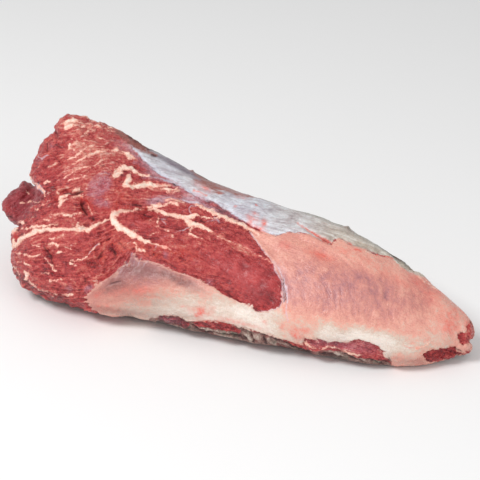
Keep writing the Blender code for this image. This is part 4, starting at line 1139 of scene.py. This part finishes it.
# %% Move the points
FAT_RISE = 0.30 * MM
COAT_RISE = 0.75 * MM
COAT_LIP = 0.25 * MM
FIBRE_RELIEF = 0.26 * MM
STRAND_RELIEF = 0.28 * MM
FINGER_RELIEF = 0.10 * MM
WEB_RELIEF = 0.18 * MM
SILK_RELIEF = 0.12 * MM
SKIN_FIBRE_RELIEF = 0.04 * MM
COAT_LUMP_RELIEF = 0.12 * MM
SILVER_LUMP_RELIEF = 0.18 * MM
LUMP_RELIEF = 0.55 * MM
SMALL_LUMP_RELIEF = 0.40 * MM
TORN_RELIEF = 0.95 * MM
HEM_RELIEF = 1.0 * MM
FOLD_RELIEF = 0.8 * MM
DEEP_RELIEF = 1.6 * MM
RIM_RELIEF = 0.7 * MM
WINDOW_DEPTH = 0.6 * MM
BEADS = (  # small knobs of flesh or fat: x, y, reach in pixels, height in millimetres
    (50, 147, 2.4, 1.4), (57, 181, 2.2, 0.9), (61, 184, 1.8, 0.8), (76, 190.4, 2.6, 1.6),
    (66, 144.5, 1.8, 0.8), (87, 200, 2.6, 1.0), (90, 207, 2.2, 0.8), (192, 172, 2.2, 1.4),
    (347, 229, 2.2, 1.1), (97, 235, 3.0, 0.8), (104, 262, 3.2, 1.1), (96, 271, 3.4, 0.9),
    (110, 268, 3.0, 0.8), (126, 254, 2.4, 1.0), (85, 236, 3.2, 0.7), (75, 272, 3.6, 0.7),
    (66, 286, 4.0, 0.9), (84, 291, 3.4, 0.9), (119, 231, 2.6, 0.6), (300, 335, 3.4, 0.7),
    (8, 206, 3.0, 1.0), (20, 193, 3.6, 0.8), (14, 203, 3.0, 0.7), (25, 207, 3.4, 0.7), (300, 215, 2.0, 0.5),
)

in_coat = soft_step(coat, -0.6, 0.8)
in_silver = soft_step(silver, -0.6, 0.8)
bare = (1.0 - in_coat) * (1.0 - in_silver) * (1.0 - under)
near_table = soft_step(points[:, 2], 16 * MM, 6 * MM)

relief = FAT_RISE * soft_step(fat, -0.5, 1.5) * (1.0 + 0.7 * lumps_small + 0.7 * crag)
relief += COAT_RISE * soft_step(np.maximum(coat, silver - 2.0), -0.8, 2.2)
relief += COAT_LIP * np.exp(-((coat - 1.5) / 1.3) ** 2) * soft_step(silver, 0.5, -3.0)
relief += bare * (1.0 - sleek) * (FIBRE_RELIEF * fibre + STRAND_RELIEF * strand)
relief += bare * (LUMP_RELIEF * lumps + SMALL_LUMP_RELIEF * lumps_small)
web_relief = with_back(WEB_RELIEF * web, 0.0)
silk_relief = with_back(SILK_RELIEF, SKIN_FIBRE_RELIEF) * strand
relief += in_coat * (FINGER_RELIEF * finger + COAT_LUMP_RELIEF * lumps + SKIN_FIBRE_RELIEF * fibre
                     + web_relief)
relief += in_silver * (SKIN_FIBRE_RELIEF * fibre + silk_relief + SILVER_LUMP_RELIEF * lumps)
relief += bare * torn * TORN_RELIEF * crag
relief += near_table * RIM_RELIEF * (lumps + 0.6 * lumps_small) * (1.0 - downward)
relief += under * (1.0 - downward) * (HEM_RELIEF * (0.5 * crag + 0.5 * lumps) + FOLD_RELIEF * fold)
relief -= DEEP_RELIEF * soft_spots(pixels, HOLLOWS_AND_PAINTED_SHADE) * show_share * bare
relief -= MM * cleft_relief * show_share
relief -= WINDOW_DEPTH * soft_step(windows, -0.8, 1.0)
for x, y, reach, height in BEADS:
    relief += height * MM * np.exp(-((pixels - (x, y)) ** 2).sum(1) / reach ** 2) * show_share

flat = soft_step(points[:, 2], 0.6 * MM, 3.0 * MM)
moved = points + normals * (relief * flat)[:, None]
moved[:, 2] = np.maximum(moved[:, 2], 0.0)
meat.data.vertices.foreach_set("co", moved.ravel())
meat.data.update()
print("relief from", round(relief.min() / MM, 2), "to", round(relief.max() / MM, 2), "mm")

# %% [markdown]
# ## Handing the drawings to the material
#
# Each drawing becomes an attribute of the mesh: one number a point, blended smoothly between points. The
# material reads them by name, so the colours stay on the meat from every side.

# %% Attributes
STROKE_LIMIT = 4.0  # pixels, beyond which the colours don't change
AREA_LIMIT = 6.0
shown_lilac = np.clip(lilac, -STROKE_LIMIT, STROKE_LIMIT) * show_share - STROKE_LIMIT * (1 - show_share)
shown_lobe = soft_step(lobe, -1.0, 1.0) * soft_step(facing, -0.9, -0.4)
ATTRIBUTES = {
    "fat_depth": np.clip(fat, -STROKE_LIMIT, STROKE_LIMIT),
    "coat_depth": np.clip(coat, -AREA_LIMIT, AREA_LIMIT),
    "silver_depth": np.clip(silver, -AREA_LIMIT, AREA_LIMIT), "lilac_depth": shown_lilac,
    "fibre": fibre, "strand": strand, "finger": finger, "tone": tone, "cream": cream, "warmth": warmth,
    "veil": veil, "blood": blood, "shade": shade, "under": under, "dark_edge_shade": dark_edge_shade, "grey": grey,
    "lobe": shown_lobe, "torn": torn, "crag": crag, "marbled": marbled, "dull": dull, "purple_edge_shade": purple_edge_shade,
    "brown": brown, "fold": fold, "sleek": sleek, "glaze_highlight": glaze_highlight,
}
for name, values in ATTRIBUTES.items():
    attribute = meat.data.attributes.new(name, "FLOAT", "POINT")
    attribute.data.foreach_set("value", np.asarray(values, np.float32))
comb_attribute = meat.data.attributes.new("comb", "FLOAT_VECTOR", "POINT")
comb_attribute.data.foreach_set("vector", comb.astype(np.float32).ravel())
print(len(ATTRIBUTES) + 1, "attributes")

# %% [markdown]
# ## Building node trees
#
# A finish is easier to read as a list of steps than as a wall of node calls. One helper adds a node, links
# what is a socket and sets what is a plain value. A few more name the steps that come back: a sum, a
# product, a soft threshold, a mix of two colours, a colour ramp.

# %% Node helpers
def add(tree, kind, inputs=None, **settings):
    """Adds a node, with its settings and its inputs by name or number."""
    node = tree.nodes.new(kind)
    for name, value in settings.items():
        setattr(node, name, value)
    for name, value in (inputs or {}).items():
        if isinstance(value, bpy.types.NodeSocket):
            tree.links.new(value, node.inputs[name])
        else:
            node.inputs[name].default_value = value
    return node


def calculate(tree, operation, a, b=0.0, clamp=False):
    """One step of arithmetic."""
    return add(tree, "ShaderNodeMath", {0: a, 1: b}, operation=operation, use_clamp=clamp).outputs[0]


def product(tree, a, b):
    """The product of two values."""
    return calculate(tree, "MULTIPLY", a, b)


def total_of(tree, *terms):
    """The sum of values and of (value, factor) pairs."""
    result = 0.0
    for term in terms:
        if isinstance(term, tuple):
            term = product(tree, *term)
        result = calculate(tree, "ADD", term, result)
    return result


def largest(tree, first, *others):
    """The largest of some values."""
    for value in others:
        first = calculate(tree, "MAXIMUM", first, value)
    return first


def patchy(tree, mask, *terms):
    """A mask made uneven: multiplied by the sum of the terms, and kept between 0 and 1."""
    return calculate(tree, "MULTIPLY", mask, total_of(tree, *terms), clamp=True)


def threshold(tree, value, start, end, high=1.0):
    """A soft step from 0 to high."""
    inputs = {"Value": value, "From Min": start, "From Max": end, "To Max": high}
    return add(tree, "ShaderNodeMapRange", inputs, interpolation_type="SMOOTHSTEP").outputs["Result"]


def colour(red, green, blue):
    """A colour as seen on screen, 0 to 255, as Blender's linear colour."""
    def linear(channel):
        share = channel / 255
        return share / 12.92 if share <= 0.04045 else ((share + 0.055) / 1.055) ** 2.4
    return (linear(red), linear(green), linear(blue), 1.0)


def mix(tree, factor, a, b):
    """Colour a where factor is 0 and b where it is 1."""
    node = add(tree, "ShaderNodeMix", {0: factor, 6: a, 7: b}, data_type="RGBA")
    return node.outputs[2]


def lay(tree, base, mask, over, strength=1.0):
    """The base with a colour laid over it where the mask is 1, at most as densely as strength."""
    if strength < 1.0:
        mask = product(tree, mask, strength)
    return mix(tree, mask, base, over)


def mix_value(tree, factor, a, b):
    """Value a where factor is 0 and b where it is 1."""
    return add(tree, "ShaderNodeMix", {0: factor, 2: a, 3: b}, data_type="FLOAT").outputs[0]


def ramp(tree, factor, stops):
    """A colour ramp; each stop has its place, then red, green and blue as seen on screen."""
    node = add(tree, "ShaderNodeValToRGB", {"Fac": factor})
    elements = node.color_ramp.elements
    while len(elements) < len(stops):
        elements.new(0.5)
    for element, (place, *picked) in zip(elements, stops):
        element.position = place
        element.color = colour(*picked)
    return node.outputs["Color"]


def drawing(tree, name):
    """The value that a drawing left on the mesh."""
    return add(tree, "ShaderNodeAttribute", attribute_name=name).outputs["Fac"]


def grain(tree, place, size, detail=3.0, roughness=0.55):
    """Fine noise, from about -0.5 to 0.5, with grains of a size in metres."""
    node = add(tree, "ShaderNodeTexNoise", {"Vector": place, "Scale": 1.0 / size, "Detail": detail,
                                            "Roughness": roughness})
    return calculate(tree, "SUBTRACT", node.outputs["Fac"], 0.5)


def hairs(tree, long, thick):
    """Noise drawn out along the fibres, from about -0.5 to 0.5; length and thickness are in pixels."""
    combed = add(tree, "ShaderNodeAttribute", attribute_name="comb").outputs["Vector"]
    stretch = {0: combed, 1: (1.0 / long, 1.0 / thick, 1.0)}
    drawn_out = add(tree, "ShaderNodeVectorMath", stretch, operation="MULTIPLY")
    return grain(tree, drawn_out.outputs[0], 1.0, detail=2.0, roughness=0.6)


def veins(tree, place, size, half_width=0.035):
    """Fine branching lines, 1 on each line and 0 beside it, where smooth noise passes its middle value."""
    away = calculate(tree, "ABSOLUTE", grain(tree, place, size, detail=2.0))
    return threshold(tree, away, half_width, 0.0)


# %% [markdown]
# ## Two effects that every tissue shares
#
# Torn edge: a tissue never ends on a clean line, so its depth is disturbed by fine noise before it is
# thresholded. Moist surface: all of it is wet, and the film of juice breaks up the gloss in small patches
# and pits. Both are node groups, and each tissue places the torn edge with its own values.

# %% Torn edge group
def fine_noise(tree, place, scale, detail):
    """Plain noise from 0 to 1 with so many grains a metre."""
    inputs = {"Vector": place, "Scale": scale, "Detail": detail}
    return add(tree, "ShaderNodeTexNoise", inputs).outputs["Fac"]


def make_torn_edge():
    tree = bpy.data.node_groups.new("torn_edge", "ShaderNodeTree")
    tree.interface.new_socket("Place", in_out="INPUT", socket_type="NodeSocketVector")
    for name, value in (("Depth", 0.0), ("Raggedness", 1.0), ("Softness", 0.5), ("Grains", 900.0)):
        tree.interface.new_socket(name, in_out="INPUT", socket_type="NodeSocketFloat").default_value = value
    tree.interface.new_socket("Mask", in_out="OUTPUT", socket_type="NodeSocketFloat")
    given = add(tree, "NodeGroupInput").outputs
    torn_noise = fine_noise(tree, given["Place"], given["Grains"], 4.0)
    wobble = calculate(tree, "SUBTRACT", torn_noise, 0.5)
    depth = calculate(tree, "ADD", given["Depth"], product(tree, wobble, given["Raggedness"]))
    start = product(tree, given["Softness"], -1.0)
    mask = add(tree, "ShaderNodeMapRange", {"Value": depth, "From Min": start, "From Max": given["Softness"]},
               interpolation_type="SMOOTHSTEP").outputs["Result"]
    add(tree, "NodeGroupOutput", {"Mask": mask})
    return tree


# %% Moist surface group
def make_moist_surface():
    tree = bpy.data.node_groups.new("moist_surface", "ShaderNodeTree")
    tree.interface.new_socket("Place", in_out="INPUT", socket_type="NodeSocketVector")
    for name, value in (("Dry", 0.5), ("Pits", 1400.0), ("Puddles", 160.0)):
        tree.interface.new_socket(name, in_out="INPUT", socket_type="NodeSocketFloat").default_value = value
    for name in ("Roughness", "Height", "Wet"):
        tree.interface.new_socket(name, in_out="OUTPUT", socket_type="NodeSocketFloat")
    given = add(tree, "NodeGroupInput").outputs
    pits = fine_noise(tree, given["Place"], given["Pits"], 3.0)
    puddles = fine_noise(tree, given["Place"], given["Puddles"], 2.0)
    wet = threshold(tree, puddles, 0.42, 0.62)
    breakup = product(tree, calculate(tree, "SUBTRACT", pits, 0.5), 0.25)
    rough = total_of(tree, given["Dry"], breakup, (wet, -0.1))
    add(tree, "NodeGroupOutput", {"Roughness": rough, "Height": pits, "Wet": wet})
    return tree


torn_edge = make_torn_edge()
moist_surface = make_moist_surface()
print("groups:", [group.name for group in bpy.data.node_groups])


# %% Place the groups
def torn_mask(tree, place, depth, raggedness, softness, size):
    """Where a tissue is, from its depth, with a torn edge."""
    inputs = {"Place": place, "Depth": depth, "Raggedness": raggedness, "Softness": softness,
              "Grains": 1.0 / size}
    return add(tree, "ShaderNodeGroup", inputs, node_tree=torn_edge).outputs["Mask"]


# %% [markdown]
# ## The flesh material
#
# The tissues are laid over each other as on the real piece, from the muscle at the bottom to blood and
# clefts at the top. Each layer has its own ramp of colours, and its own noise and fibres. One
# material holds them all, because the tissues run into each other and share their grain.

# %% The material, and the grains that its tissues share
flesh = bpy.data.materials.new("raw_beef_flesh")
flesh.use_nodes = True
tree = flesh.node_tree
shader = tree.nodes["Principled BSDF"]
place = add(tree, "ShaderNodeTexCoord").outputs["Object"]
fibres, strands, fingers = (drawing(tree, name) for name in ("fibre", "strand", "finger"))
fine, middle, broad = (grain(tree, place, size) for size in (0.9 * MM, 2.4 * MM, 7 * MM))
other = grain(tree, place, 3.1 * MM, detail=5.0, roughness=0.7)
specks = grain(tree, place, 0.5 * MM, detail=1.0)
torn_part, crag_height, veil_part = (drawing(tree, name) for name in ("torn", "crag", "veil"))
thin_hairs, long_hairs, dashes = hairs(tree, 9.0, 0.9), hairs(tree, 20.0, 1.8), hairs(tree, 5.0, 1.3)
brushed = hairs(tree, 20.0, 1.0)

# %% [markdown]
# ### Muscle
#
# Cut muscle goes from crimson to salmon and is streaked along its fibres. The drawn tone, with its painted
# shade in hollows and between lumps, picks the colour, and hairs of noise along the fibres disturb it, except
# where the meat is sleek. Torn flesh has orange crests, painted highlights, the loose lobe is darker with a
# sheen, and marbling is a mask of pale streaks along the strands.

# %% Muscle
MUSCLE = ((0.0, 96, 14, 22), (0.2, 150, 35, 41), (0.42, 189, 61, 62), (0.62, 207, 98, 89),
          (0.82, 230, 150, 132), (1.0, 246, 200, 184))
MARBLE = ((0.0, 214, 124, 114), (0.5, 238, 176, 162), (1.0, 248, 218, 206))
ORANGE_CREST_HIGHLIGHT = colour(220, 92, 76)
LOBE_TINT = colour(152, 42, 52)
LOBE_SHEEN = colour(182, 84, 94)
DARKEST_HAIR = -0.03

rough_part = calculate(tree, "SUBTRACT", 1.0, drawing(tree, "sleek"))
pale_hairs, pale_specks = (calculate(tree, "MAXIMUM", value, DARKEST_HAIR) for value in (thin_hairs, specks))
texture = total_of(tree, (fibres, 0.040), (strands, 0.060), (pale_hairs, 0.95), (long_hairs, 0.7),
                   (fine, 0.3), (middle, 0.75), (pale_specks, 0.8), -0.06)
muscle_tone = total_of(tree, drawing(tree, "tone"), (broad, 0.45), (texture, rough_part))
base = ramp(tree, muscle_tone, MUSCLE)
# painted highlights: the crests of torn muscle turn light orange
crests = threshold(tree, total_of(tree, (crag_height, 0.4), (other, 2.6), (fine, 1.2)), -0.05, 0.35)
torn_crest_highlights = product(tree, crests, product(tree, torn_part, 0.75))
base = lay(tree, base, torn_crest_highlights, ORANGE_CREST_HIGHLIGHT)
sheen = threshold(tree, total_of(tree, middle, (fine, 0.8)), -0.1, 0.35)
base = lay(tree, base, drawing(tree, "lobe"), mix(tree, sheen, LOBE_TINT, LOBE_SHEEN), 0.75)

# %% Marbling
coat_depth = drawing(tree, "coat_depth")
crumbs = threshold(tree, coat_depth, -4.5, -0.5)
streaks = total_of(tree, (strands, 0.32), (fibres, 0.14), (dashes, 1.6), (brushed, 3.6), (other, 1.8),
                   (fine, 0.6), (crumbs, 0.45), (drawing(tree, "marbled"), 1.5))
marble = ramp(tree, total_of(tree, 0.45, (fine, 1.5), (broad, 1.0)), MARBLE)
base = lay(tree, base, threshold(tree, streaks, 1.5, 2.25), marble, 0.8)

# %% [markdown]
# ### Purple film
#
# Where the knife left the thinnest skin on the muscle, it looks purple and is creased with pale, branching
# lines.

# %% Purple film
FILM_PURPLE = colour(184, 128, 146)
LILAC = colour(222, 188, 196)

veil_mask = patchy(tree, veil_part, 0.8, (middle, 1.5), (fine, 1.0))
base = lay(tree, base, veil_mask, FILM_PURPLE, 0.72)
creases = product(tree, veins(tree, place, 2.6 * MM), veil_mask)
base = lay(tree, base, creases, LILAC, 0.55)

# %% [markdown]
# ### Coat of fascia and fat
#
# The coat is purple-grey where it is thin and cream where it is thick, with fine pale threads in it. It is
# dull and dark in a few drawn spots, and its trimmed edge shows as a pale pink rim.

# %% Coat
FASCIA = ((0.0, 152, 102, 108), (0.2, 187, 123, 123), (0.4, 216, 143, 131), (0.58, 235, 168, 150),
          (0.78, 220, 196, 180), (1.0, 238, 224, 213))
THIN_FASCIA = colour(176, 124, 134)
DULL_DARK_TINT = colour(130, 78, 74)
COAT_RIM = colour(232, 176, 156)

cream_tone = total_of(tree, drawing(tree, "cream"), (fingers, 0.035), (fibres, 0.020), (thin_hairs, 0.16),
                      (broad, 0.24), (middle, 0.28), (fine, 0.24), (specks, 0.16),
                      (veins(tree, place, 3.4 * MM, 0.05), 0.07))
coat_colour = lay(tree, ramp(tree, cream_tone, FASCIA), veil_part, THIN_FASCIA, 0.45)
coat_colour = lay(tree, coat_colour, patchy(tree, drawing(tree, "dull"), 0.84, (middle, 0.8)), DULL_DARK_TINT)
coat_mask = torn_mask(tree, place, coat_depth, 2.6, 0.5, 1.2 * MM)
base = lay(tree, base, coat_mask, coat_colour)
inner, outer = threshold(tree, coat_depth, 2.2, 0.6), threshold(tree, coat_depth, -0.4, 0.6)
rim = product(tree, inner, outer)
base = lay(tree, base, rim, COAT_RIM, 0.45)

# %% [markdown]
# ### Silverskin
#
# Silverskin is a sheet of sinew with long, silky fibres. It is blue-white near the cut end and a warm grey
# towards the tip, has a bright edge where it is cool, and is purple where it starts, darkened next to the top
# edge as painted shade. Lilac lines and pale strands of film, glazed with painted highlights, lie along its
# borders.

# %% Silverskin
SILVER = ((0.0, 116, 98, 112), (0.3, 168, 156, 168), (0.6, 200, 196, 204), (1.0, 236, 242, 250))
WARM_SILVER = ((0.0, 112, 92, 76), (0.4, 182, 164, 142), (0.7, 210, 196, 178), (1.0, 236, 228, 216))
BRIGHT_RIM = colour(232, 234, 246)
PURPLE_EDGE_SHADE_COLOUR = colour(124, 108, 122)
GLAZE_HIGHLIGHT_COLOUR = colour(219, 215, 229)

silver_depth, warm_part = drawing(tree, "silver_depth"), drawing(tree, "warmth")
silk = total_of(tree, hairs(tree, 46.0, 1.0), hairs(tree, 80.0, 3.0))
silver_tone = total_of(tree, 0.63, (silk, 0.8), (strands, 0.03), (broad, 1.0), (middle, 0.4), (fine, 0.14))
silver_colour = mix(tree, warm_part, ramp(tree, silver_tone, SILVER), ramp(tree, silver_tone, WARM_SILVER))
edge, cool_part = threshold(tree, silver_depth, 3.4, 1.4), threshold(tree, warm_part, 0.4, 0.1)
cool_rim = product(tree, edge, cool_part)
cool_rim = patchy(tree, cool_rim, 0.5, (strands, 0.25), (middle, 0.8))
silver_colour = lay(tree, silver_colour, cool_rim, BRIGHT_RIM)
# painted shade: purple-grey next to the top edge
purple_edge_shade_mask = patchy(tree, drawing(tree, "purple_edge_shade"), 0.88, (silk, 1.2), (middle, 0.8))
silver_colour = lay(tree, silver_colour, purple_edge_shade_mask, PURPLE_EDGE_SHADE_COLOUR)
silver_mask = torn_mask(tree, place, silver_depth, 2.6, 1.0, 1.6 * MM)
base = lay(tree, base, silver_mask, silver_colour)

# %% Lilac lines, and glazed strands with painted highlights
lilac_mask = torn_mask(tree, place, drawing(tree, "lilac_depth"), 1.2, 0.5, 1.0 * MM)
base = lay(tree, base, lilac_mask, LILAC, 0.8)
# painted highlights: glazed strands of film
base = lay(tree, base, patchy(tree, drawing(tree, "glaze_highlight"), 0.8, (silk, 1.2), (fine, 0.6)), GLAZE_HIGHLIGHT_COLOUR)

# %% [markdown]
# ### Fat seams
#
# The seams lie over everything so far, cream in their middle and pink where they are thin. Short dashes
# along the fibres tear their edges.

# %% Fat seams
FAT = ((0.0, 220, 120, 106), (0.28, 243, 167, 147), (0.58, 254, 206, 186), (1.0, 255, 232, 216))

fat_depth = drawing(tree, "fat_depth")
fat_tone = total_of(tree, (fat_depth, 0.22), (middle, 1.0), (fine, 1.0), (specks, 0.5), 0.36)
fat_mask = torn_mask(tree, place, total_of(tree, fat_depth, (dashes, 2.4)), 2.8, 0.7, 0.9 * MM)
base = lay(tree, base, fat_mask, ramp(tree, fat_tone, FAT))

# %% [markdown]
# ### Blood and the top edge
#
# Fresh blood is dark red on muscle and orange-pink on the pale tissues. Along the top edge lie bands of brown
# tissue and the painted shade of the edge.

# %% Blood and the top edge
BLOOD = colour(196, 48, 44)
BLOOD_ON_FAT = colour(234, 112, 98)
BROWN = colour(158, 90, 80)
GREY_GREEN_EDGE_SHADE = colour(138, 134, 118)
DARK_EDGE_SHADE_COLOUR = colour(72, 40, 40)

pale_part = largest(tree, fat_mask, coat_mask, silver_mask)
blood_mask = patchy(tree, drawing(tree, "blood"), 0.85, (other, 3.6), (fine, 0.8))
base = lay(tree, base, blood_mask, mix(tree, pale_part, BLOOD, BLOOD_ON_FAT))
base = lay(tree, base, patchy(tree, drawing(tree, "brown"), 0.86, (silk, 1.4), (middle, 1.0)), BROWN)
# painted shade: the grey-green line along the top edge
base = lay(tree, base, patchy(tree, drawing(tree, "grey"), 0.74, (silk, 1.2), (middle, 0.8)), GREY_GREEN_EDGE_SHADE)
# painted shade: the dark line along the top edge
dark_edge_shade_mask = patchy(tree, drawing(tree, "dark_edge_shade"), 0.85, (middle, 0.8))
base = lay(tree, base, dark_edge_shade_mask, DARK_EDGE_SHADE_COLOUR)

# %% [markdown]
# ### Underside and clefts
#
# The film of the underside is brown and folded, with reddish and greenish patches, and its folds carry
# painted light and shade. The clefts come last, since their painted shade is dark in any tissue.

# %% Underside and clefts
UNDER_FILM = ((0.0, 40, 22, 22), (0.3, 92, 58, 56), (0.55, 140, 104, 96), (0.8, 174, 148, 137),
              (1.0, 204, 186, 174))
UNDER_RED = colour(146, 74, 70)
UNDER_GREEN = colour(124, 122, 108)
CLEFT_SHADE_AND_DARK_MARKS = colour(74, 12, 18)

# painted light and shade: the folds lighten the film on their tops and darken it in their creases
under_tone = total_of(tree, 0.52, (drawing(tree, "fold"), 0.34), (crag_height, 0.1), (broad, 0.5),
                      (middle, 0.9), (fine, 0.7))
under_colour = ramp(tree, under_tone, UNDER_FILM)
under_colour = lay(tree, under_colour, threshold(tree, broad, 0.02, 0.16, high=0.7), UNDER_RED)
under_colour = lay(tree, under_colour, threshold(tree, broad, -0.04, -0.16, high=0.5), UNDER_GREEN)
under_mask = threshold(tree, total_of(tree, drawing(tree, "under"), (middle, 0.5)), 0.3, 0.7)
base = lay(tree, base, under_mask, under_colour)
# painted shade: the dark insides of the clefts, and a few dark marks
shade_mask = patchy(tree, drawing(tree, "shade"), 0.82, (fine, 0.9))
base = lay(tree, base, shade_mask, CLEFT_SHADE_AND_DARK_MARKS)
tree.links.new(base, shader.inputs["Base Color"])

# %% [markdown]
# ### Gloss and fine relief
#
# Silverskin is the wettest tissue, and the underside, the dark line of painted shade along the top edge and
# the clefts are dull. The skins are smoother than cut muscle, so their fine relief is lower. A little light
# enters the flesh and comes out red.

# %% Gloss
FLESH_ROUGHNESS = 0.36
SILVER_ROUGHNESS = 0.30
DULL_ROUGHNESS = 0.75
SKIN_GLOSS = 0.06
PUDDLE_GLOSS = 0.12
FAT_SMOOTHNESS = 0.7

moist_inputs = {"Place": place, "Dry": FLESH_ROUGHNESS}
moist = add(tree, "ShaderNodeGroup", moist_inputs, node_tree=moist_surface).outputs
dull_part = largest(tree, under_mask, dark_edge_shade_mask, shade_mask)
smooth_part = largest(tree, coat_mask, silver_mask, product(tree, fat_mask, FAT_SMOOTHNESS))
rough = mix_value(tree, silver_mask, moist["Roughness"], SILVER_ROUGHNESS)
tree.links.new(mix_value(tree, dull_part, rough, DULL_ROUGHNESS), shader.inputs["Roughness"])
puddles = product(tree, moist["Wet"], PUDDLE_GLOSS)
wet_gloss = mix_value(tree, smooth_part, puddles, SKIN_GLOSS)
tree.links.new(mix_value(tree, dull_part, wet_gloss, 0.0), shader.inputs["Coat Weight"])
shader.inputs["Coat Roughness"].default_value = 0.20
shader.inputs["Specular IOR Level"].default_value = 0.60
shader.inputs["Subsurface Weight"].default_value = 0.05
shader.inputs["Subsurface Radius"].default_value = (1.0, 0.35, 0.25)
shader.inputs["Subsurface Scale"].default_value = 1.0 * MM

# %% Fine relief
BUMP_HEIGHT = 0.7 * MM

flesh_height = total_of(tree, (moist["Height"], 0.6), (fine, 1.3), (middle, 1.2), (specks, 0.4),
                        (thin_hairs, 0.9), (fibres, 0.14), (strands, 0.1))
flesh_height = product(tree, flesh_height, total_of(tree, (rough_part, 0.7), 0.3))
skin_height = total_of(tree, (moist["Height"], 0.25), (fine, 0.4), (middle, 0.4), (thin_hairs, 0.5),
                       (fibres, 0.05))
height = mix_value(tree, smooth_part, flesh_height, skin_height)
bump = add(tree, "ShaderNodeBump", {"Height": height, "Strength": 1.0, "Distance": BUMP_HEIGHT})
tree.links.new(bump.outputs["Normal"], shader.inputs["Normal"])

# %% Put the material on the meat
meat.data.materials.append(flesh)
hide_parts("beef_mock_tender")
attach(meat, "root")
print("flesh finished:", len(tree.nodes), "nodes")

# %% [markdown]
# ## Floor and light
#
# A plain, pale floor and soft studio light: one large lamp above and in front to the left, a weaker one
# from the right, and a bright sky all round, so that shadows stay open as in a catalogue picture.

# %% Floor
FLOOR_SIZE = 8.0
FLOOR_HEIGHT = -0.0003  # a hair under the meat
FLOOR_COLOUR = (0.93, 0.93, 0.93, 1.0)
FLOOR_ROUGHNESS = 0.9
FLOOR_SHINE = 0.1


def make_floor():
    mesh = bpy.data.meshes.new("floor")
    shell = bmesh.new()
    bmesh.ops.create_grid(shell, x_segments=1, y_segments=1, size=FLOOR_SIZE / 2)
    shell.to_mesh(mesh)
    shell.free()
    floor = bpy.data.objects.new("floor", mesh)
    floor.location.z = FLOOR_HEIGHT
    bpy.context.scene.collection.objects.link(floor)
    material = bpy.data.materials.new("pale_floor")
    material.use_nodes = True
    shader = material.node_tree.nodes["Principled BSDF"]
    shader.inputs["Base Color"].default_value = FLOOR_COLOUR
    shader.inputs["Roughness"].default_value = FLOOR_ROUGHNESS
    shader.inputs["Specular IOR Level"].default_value = FLOOR_SHINE
    mesh.materials.append(material)


make_floor()


# %% Lamps and sky
def add_lamp(name, place, size, watts):
    """A square lamp aimed at the middle of the meat."""
    data = bpy.data.lights.new(name, "AREA")
    data.size = size
    data.energy = watts
    lamp = bpy.data.objects.new(name, data)
    lamp.location = place
    lamp.rotation_mode = "QUATERNION"
    lamp.rotation_quaternion = (CAMERA_TARGET - Vector(place)).to_track_quat("-Z", "Y")
    bpy.context.scene.collection.objects.link(lamp)


SKY_COLOUR = (1.0, 1.0, 1.0, 1.0)
SKY_STRENGTH = 0.5
add_lamp("key", place=(-0.55, -0.75, 1.15), size=0.5, watts=12.5)
add_lamp("fill", place=(1.0, -0.7, 0.7), size=0.8, watts=3.5)
world = bpy.data.worlds.new("sky")
world.use_nodes = True
world.node_tree.nodes["Background"].inputs["Color"].default_value = SKY_COLOUR
world.node_tree.nodes["Background"].inputs["Strength"].default_value = SKY_STRENGTH
bpy.context.scene.world = world
bpy.context.scene.view_settings.view_transform = "Standard"
